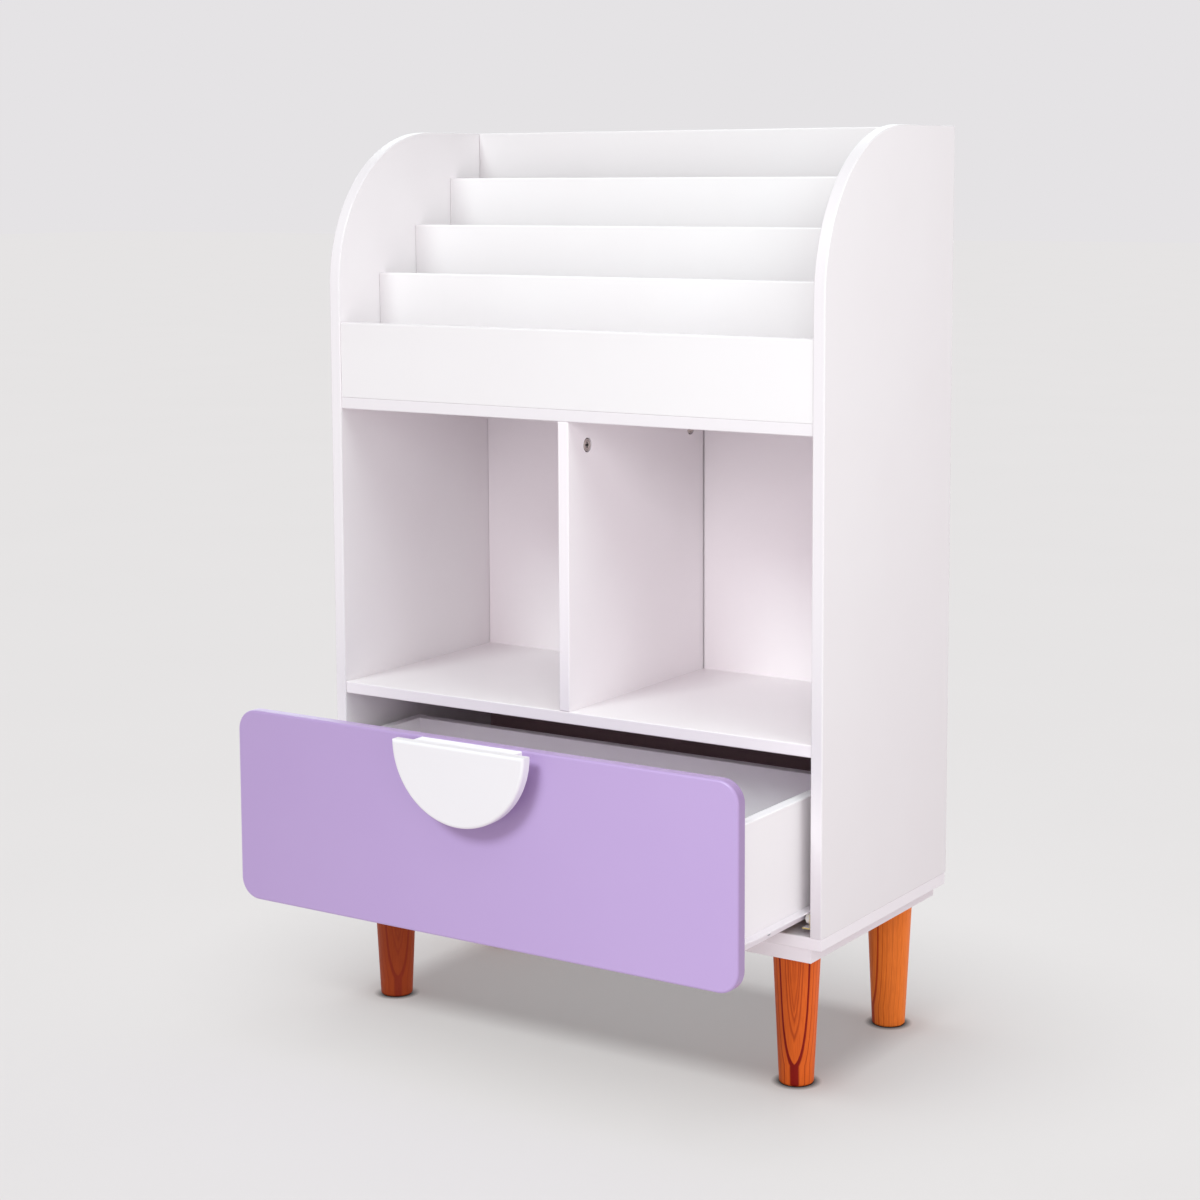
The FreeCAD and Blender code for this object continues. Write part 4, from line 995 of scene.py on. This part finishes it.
# Each far light: where it comes from, strength, spread in degrees, colour, what it reaches.
FAR_LIGHTS = {
    "key_light": (KEY_WAY, 0.38, 18, COOL_WHITE, all_but_floor),
    "ceiling_light": ((0.1, -0.1, 1.0), 0.24, 60, COOL_WHITE, all_but_sides),
    "drawer_top_light": ((0.05, -0.45, 1.0), 0.30, 40, COOL_WHITE, drawer_tops),
    "back_light": ((-0.62, 0.68, 0.40), 0.38, 60, COOL_WHITE, all_but_floor),
    "floor_light": ((0.0, -0.05, 1.0), 0.87, 36, WHITE, only_floor),
}
# Each soft box: its place in metres, its width in metres, strength, colour, what it reaches.
SOFT_BOXES = {
    "front_box": ((1.05, -1.30, 1.05), 0.7, 0.19, COOL_WHITE, all_but_face),
    "right_box": ((1.6, -0.4, 1.9), 0.9, 0.29, COOL_WHITE, all_but_face),
    "low_box": ((1.6, -0.9, 0.4), 0.8, 0.10, ROSE_WHITE, all_but_floor),
    "compartment_box": ((0.95, -1.35, 1.3), 0.5, 0.155, ROSE_WHITE, compartments),
    "back_box": ((0.2, -1.6, 0.8), 0.7, 0.17, ROSE_WHITE, deep_back),
    "pocket_box": ((0.35, -1.2, 2.1), 0.7, 0.13, COOL_WHITE, pockets),
    "leg_box": ((1.5, -1.0, 0.3), 0.9, 0.19, WHITE, legs),
    "base_box": ((0.8, -1.5, 0.25), 0.7, 0.15, ROSE_WHITE, base),
    "leg_rim_box": ((1.2, 1.0, 0.4), 0.5, 0.25, WHITE, legs),
}
# The lamp in a snoot: what it is aimed at, how far off it is, its width, its patch's radius, all in metres.
SNOOT_TARGET, SNOOT_REACH, SNOOT_WIDTH, SNOOT_PATCH = (0.6, -0.23, 0.2), 3.0, 0.9, 1.1
SNOOT_STRENGTH = 0.40


def studio_light(name, kind, towards, watts, colour, reached):
    """A light that looks in from one direction and reaches only some pieces."""
    data = bpy.data.lights.new(name, kind)
    data.color = colour
    data.energy = watts
    light = bpy.data.objects.new(name, data)
    light.rotation_euler = Vector(towards).to_track_quat("Z", "Y").to_euler()
    light.light_linking.receiver_collection = reached
    light.visible_camera = False
    scene.collection.objects.link(light)
    return light


def far_light(name, towards, strength, spread, colour, reached):
    """A light so far off that it is even: strength is the brightness of white paper square on to it."""
    light = studio_light(name, "SUN", towards, strength * math.pi, colour, reached)
    light.data.angle = math.radians(spread)


def soft_box(name, place, width, strength, colour, reached):
    """A glowing square at a place: strength is the brightness of white paper in the bookshelf's middle."""
    away = Vector(place) - CENTRE
    watts = strength * math.pi ** 2 * away.length_squared
    light = studio_light(name, "AREA", away, watts, colour, reached)
    light.location = place
    light.data.shape = "SQUARE"
    light.data.size = width


def snooted_light(name, towards, colour, reached):
    """A lamp in a snoot: strength is the brightness of white paper in the middle of its round patch."""
    watts = SNOOT_STRENGTH * 4 * (math.pi * SNOOT_REACH) ** 2
    light = studio_light(name, "SPOT", towards, watts, colour, reached)
    light.location = Vector(SNOOT_TARGET) + Vector(towards).normalized() * SNOOT_REACH
    light.data.spot_size = 2 * math.atan(SNOOT_PATCH / SNOOT_REACH)
    light.data.spot_blend = 1.0
    light.data.shadow_soft_size = SNOOT_WIDTH / 2


snooted_light("drawer_light", KEY_WAY, COOL_WHITE, drawer_face)
for name, setting in FAR_LIGHTS.items():
    far_light(name, *setting)
for name, setting in SOFT_BOXES.items():
    soft_box(name, *setting)
bpy.data.objects["floor_light"].light_linking.blocker_collection = all_but_drawer
print("lights:", len(FAR_LIGHTS), "far ones,", len(SOFT_BOXES), "boxes and a snoot")

# %% [markdown]
# ## Camera
# The picture was taken from the front right, from just under the height of the bookshelf's top, with a long
# lens. The lens is shifted down a little, as on a view camera: the camera can then be held nearly level,
# which keeps the uprights nearly parallel, and the whole bookshelf still lies in the frame.

# %% Camera
CAMERA_PLACE = (1.390839, -2.099454, 0.898466)
CAMERA_YAW, CAMERA_PITCH, CAMERA_ROLL = 33.241, -6.723, -0.26
LENS_MM, SENSOR_MM, LENS_SHIFT = 73.739, 36.0, -0.11
# An unturned camera looks straight down, and a quarter turn makes it level.
LEVEL_TURN = 90

camera_data = bpy.data.cameras.new("studio_camera")
camera_data.lens = LENS_MM
camera_data.sensor_width = SENSOR_MM
camera_data.shift_y = LENS_SHIFT
camera = bpy.data.objects.new("studio_camera", camera_data)
turn = (
    Matrix.Rotation(math.radians(CAMERA_YAW), 4, "Z")
    @ Matrix.Rotation(math.radians(LEVEL_TURN + CAMERA_PITCH), 4, "X")
    @ Matrix.Rotation(math.radians(CAMERA_ROLL), 4, "Z")
)
camera.matrix_world = Matrix.Translation(CAMERA_PLACE) @ turn
scene.collection.objects.link(camera)
scene.camera = camera
print("camera:", CAMERA_PLACE, "lens", LENS_MM, "mm")
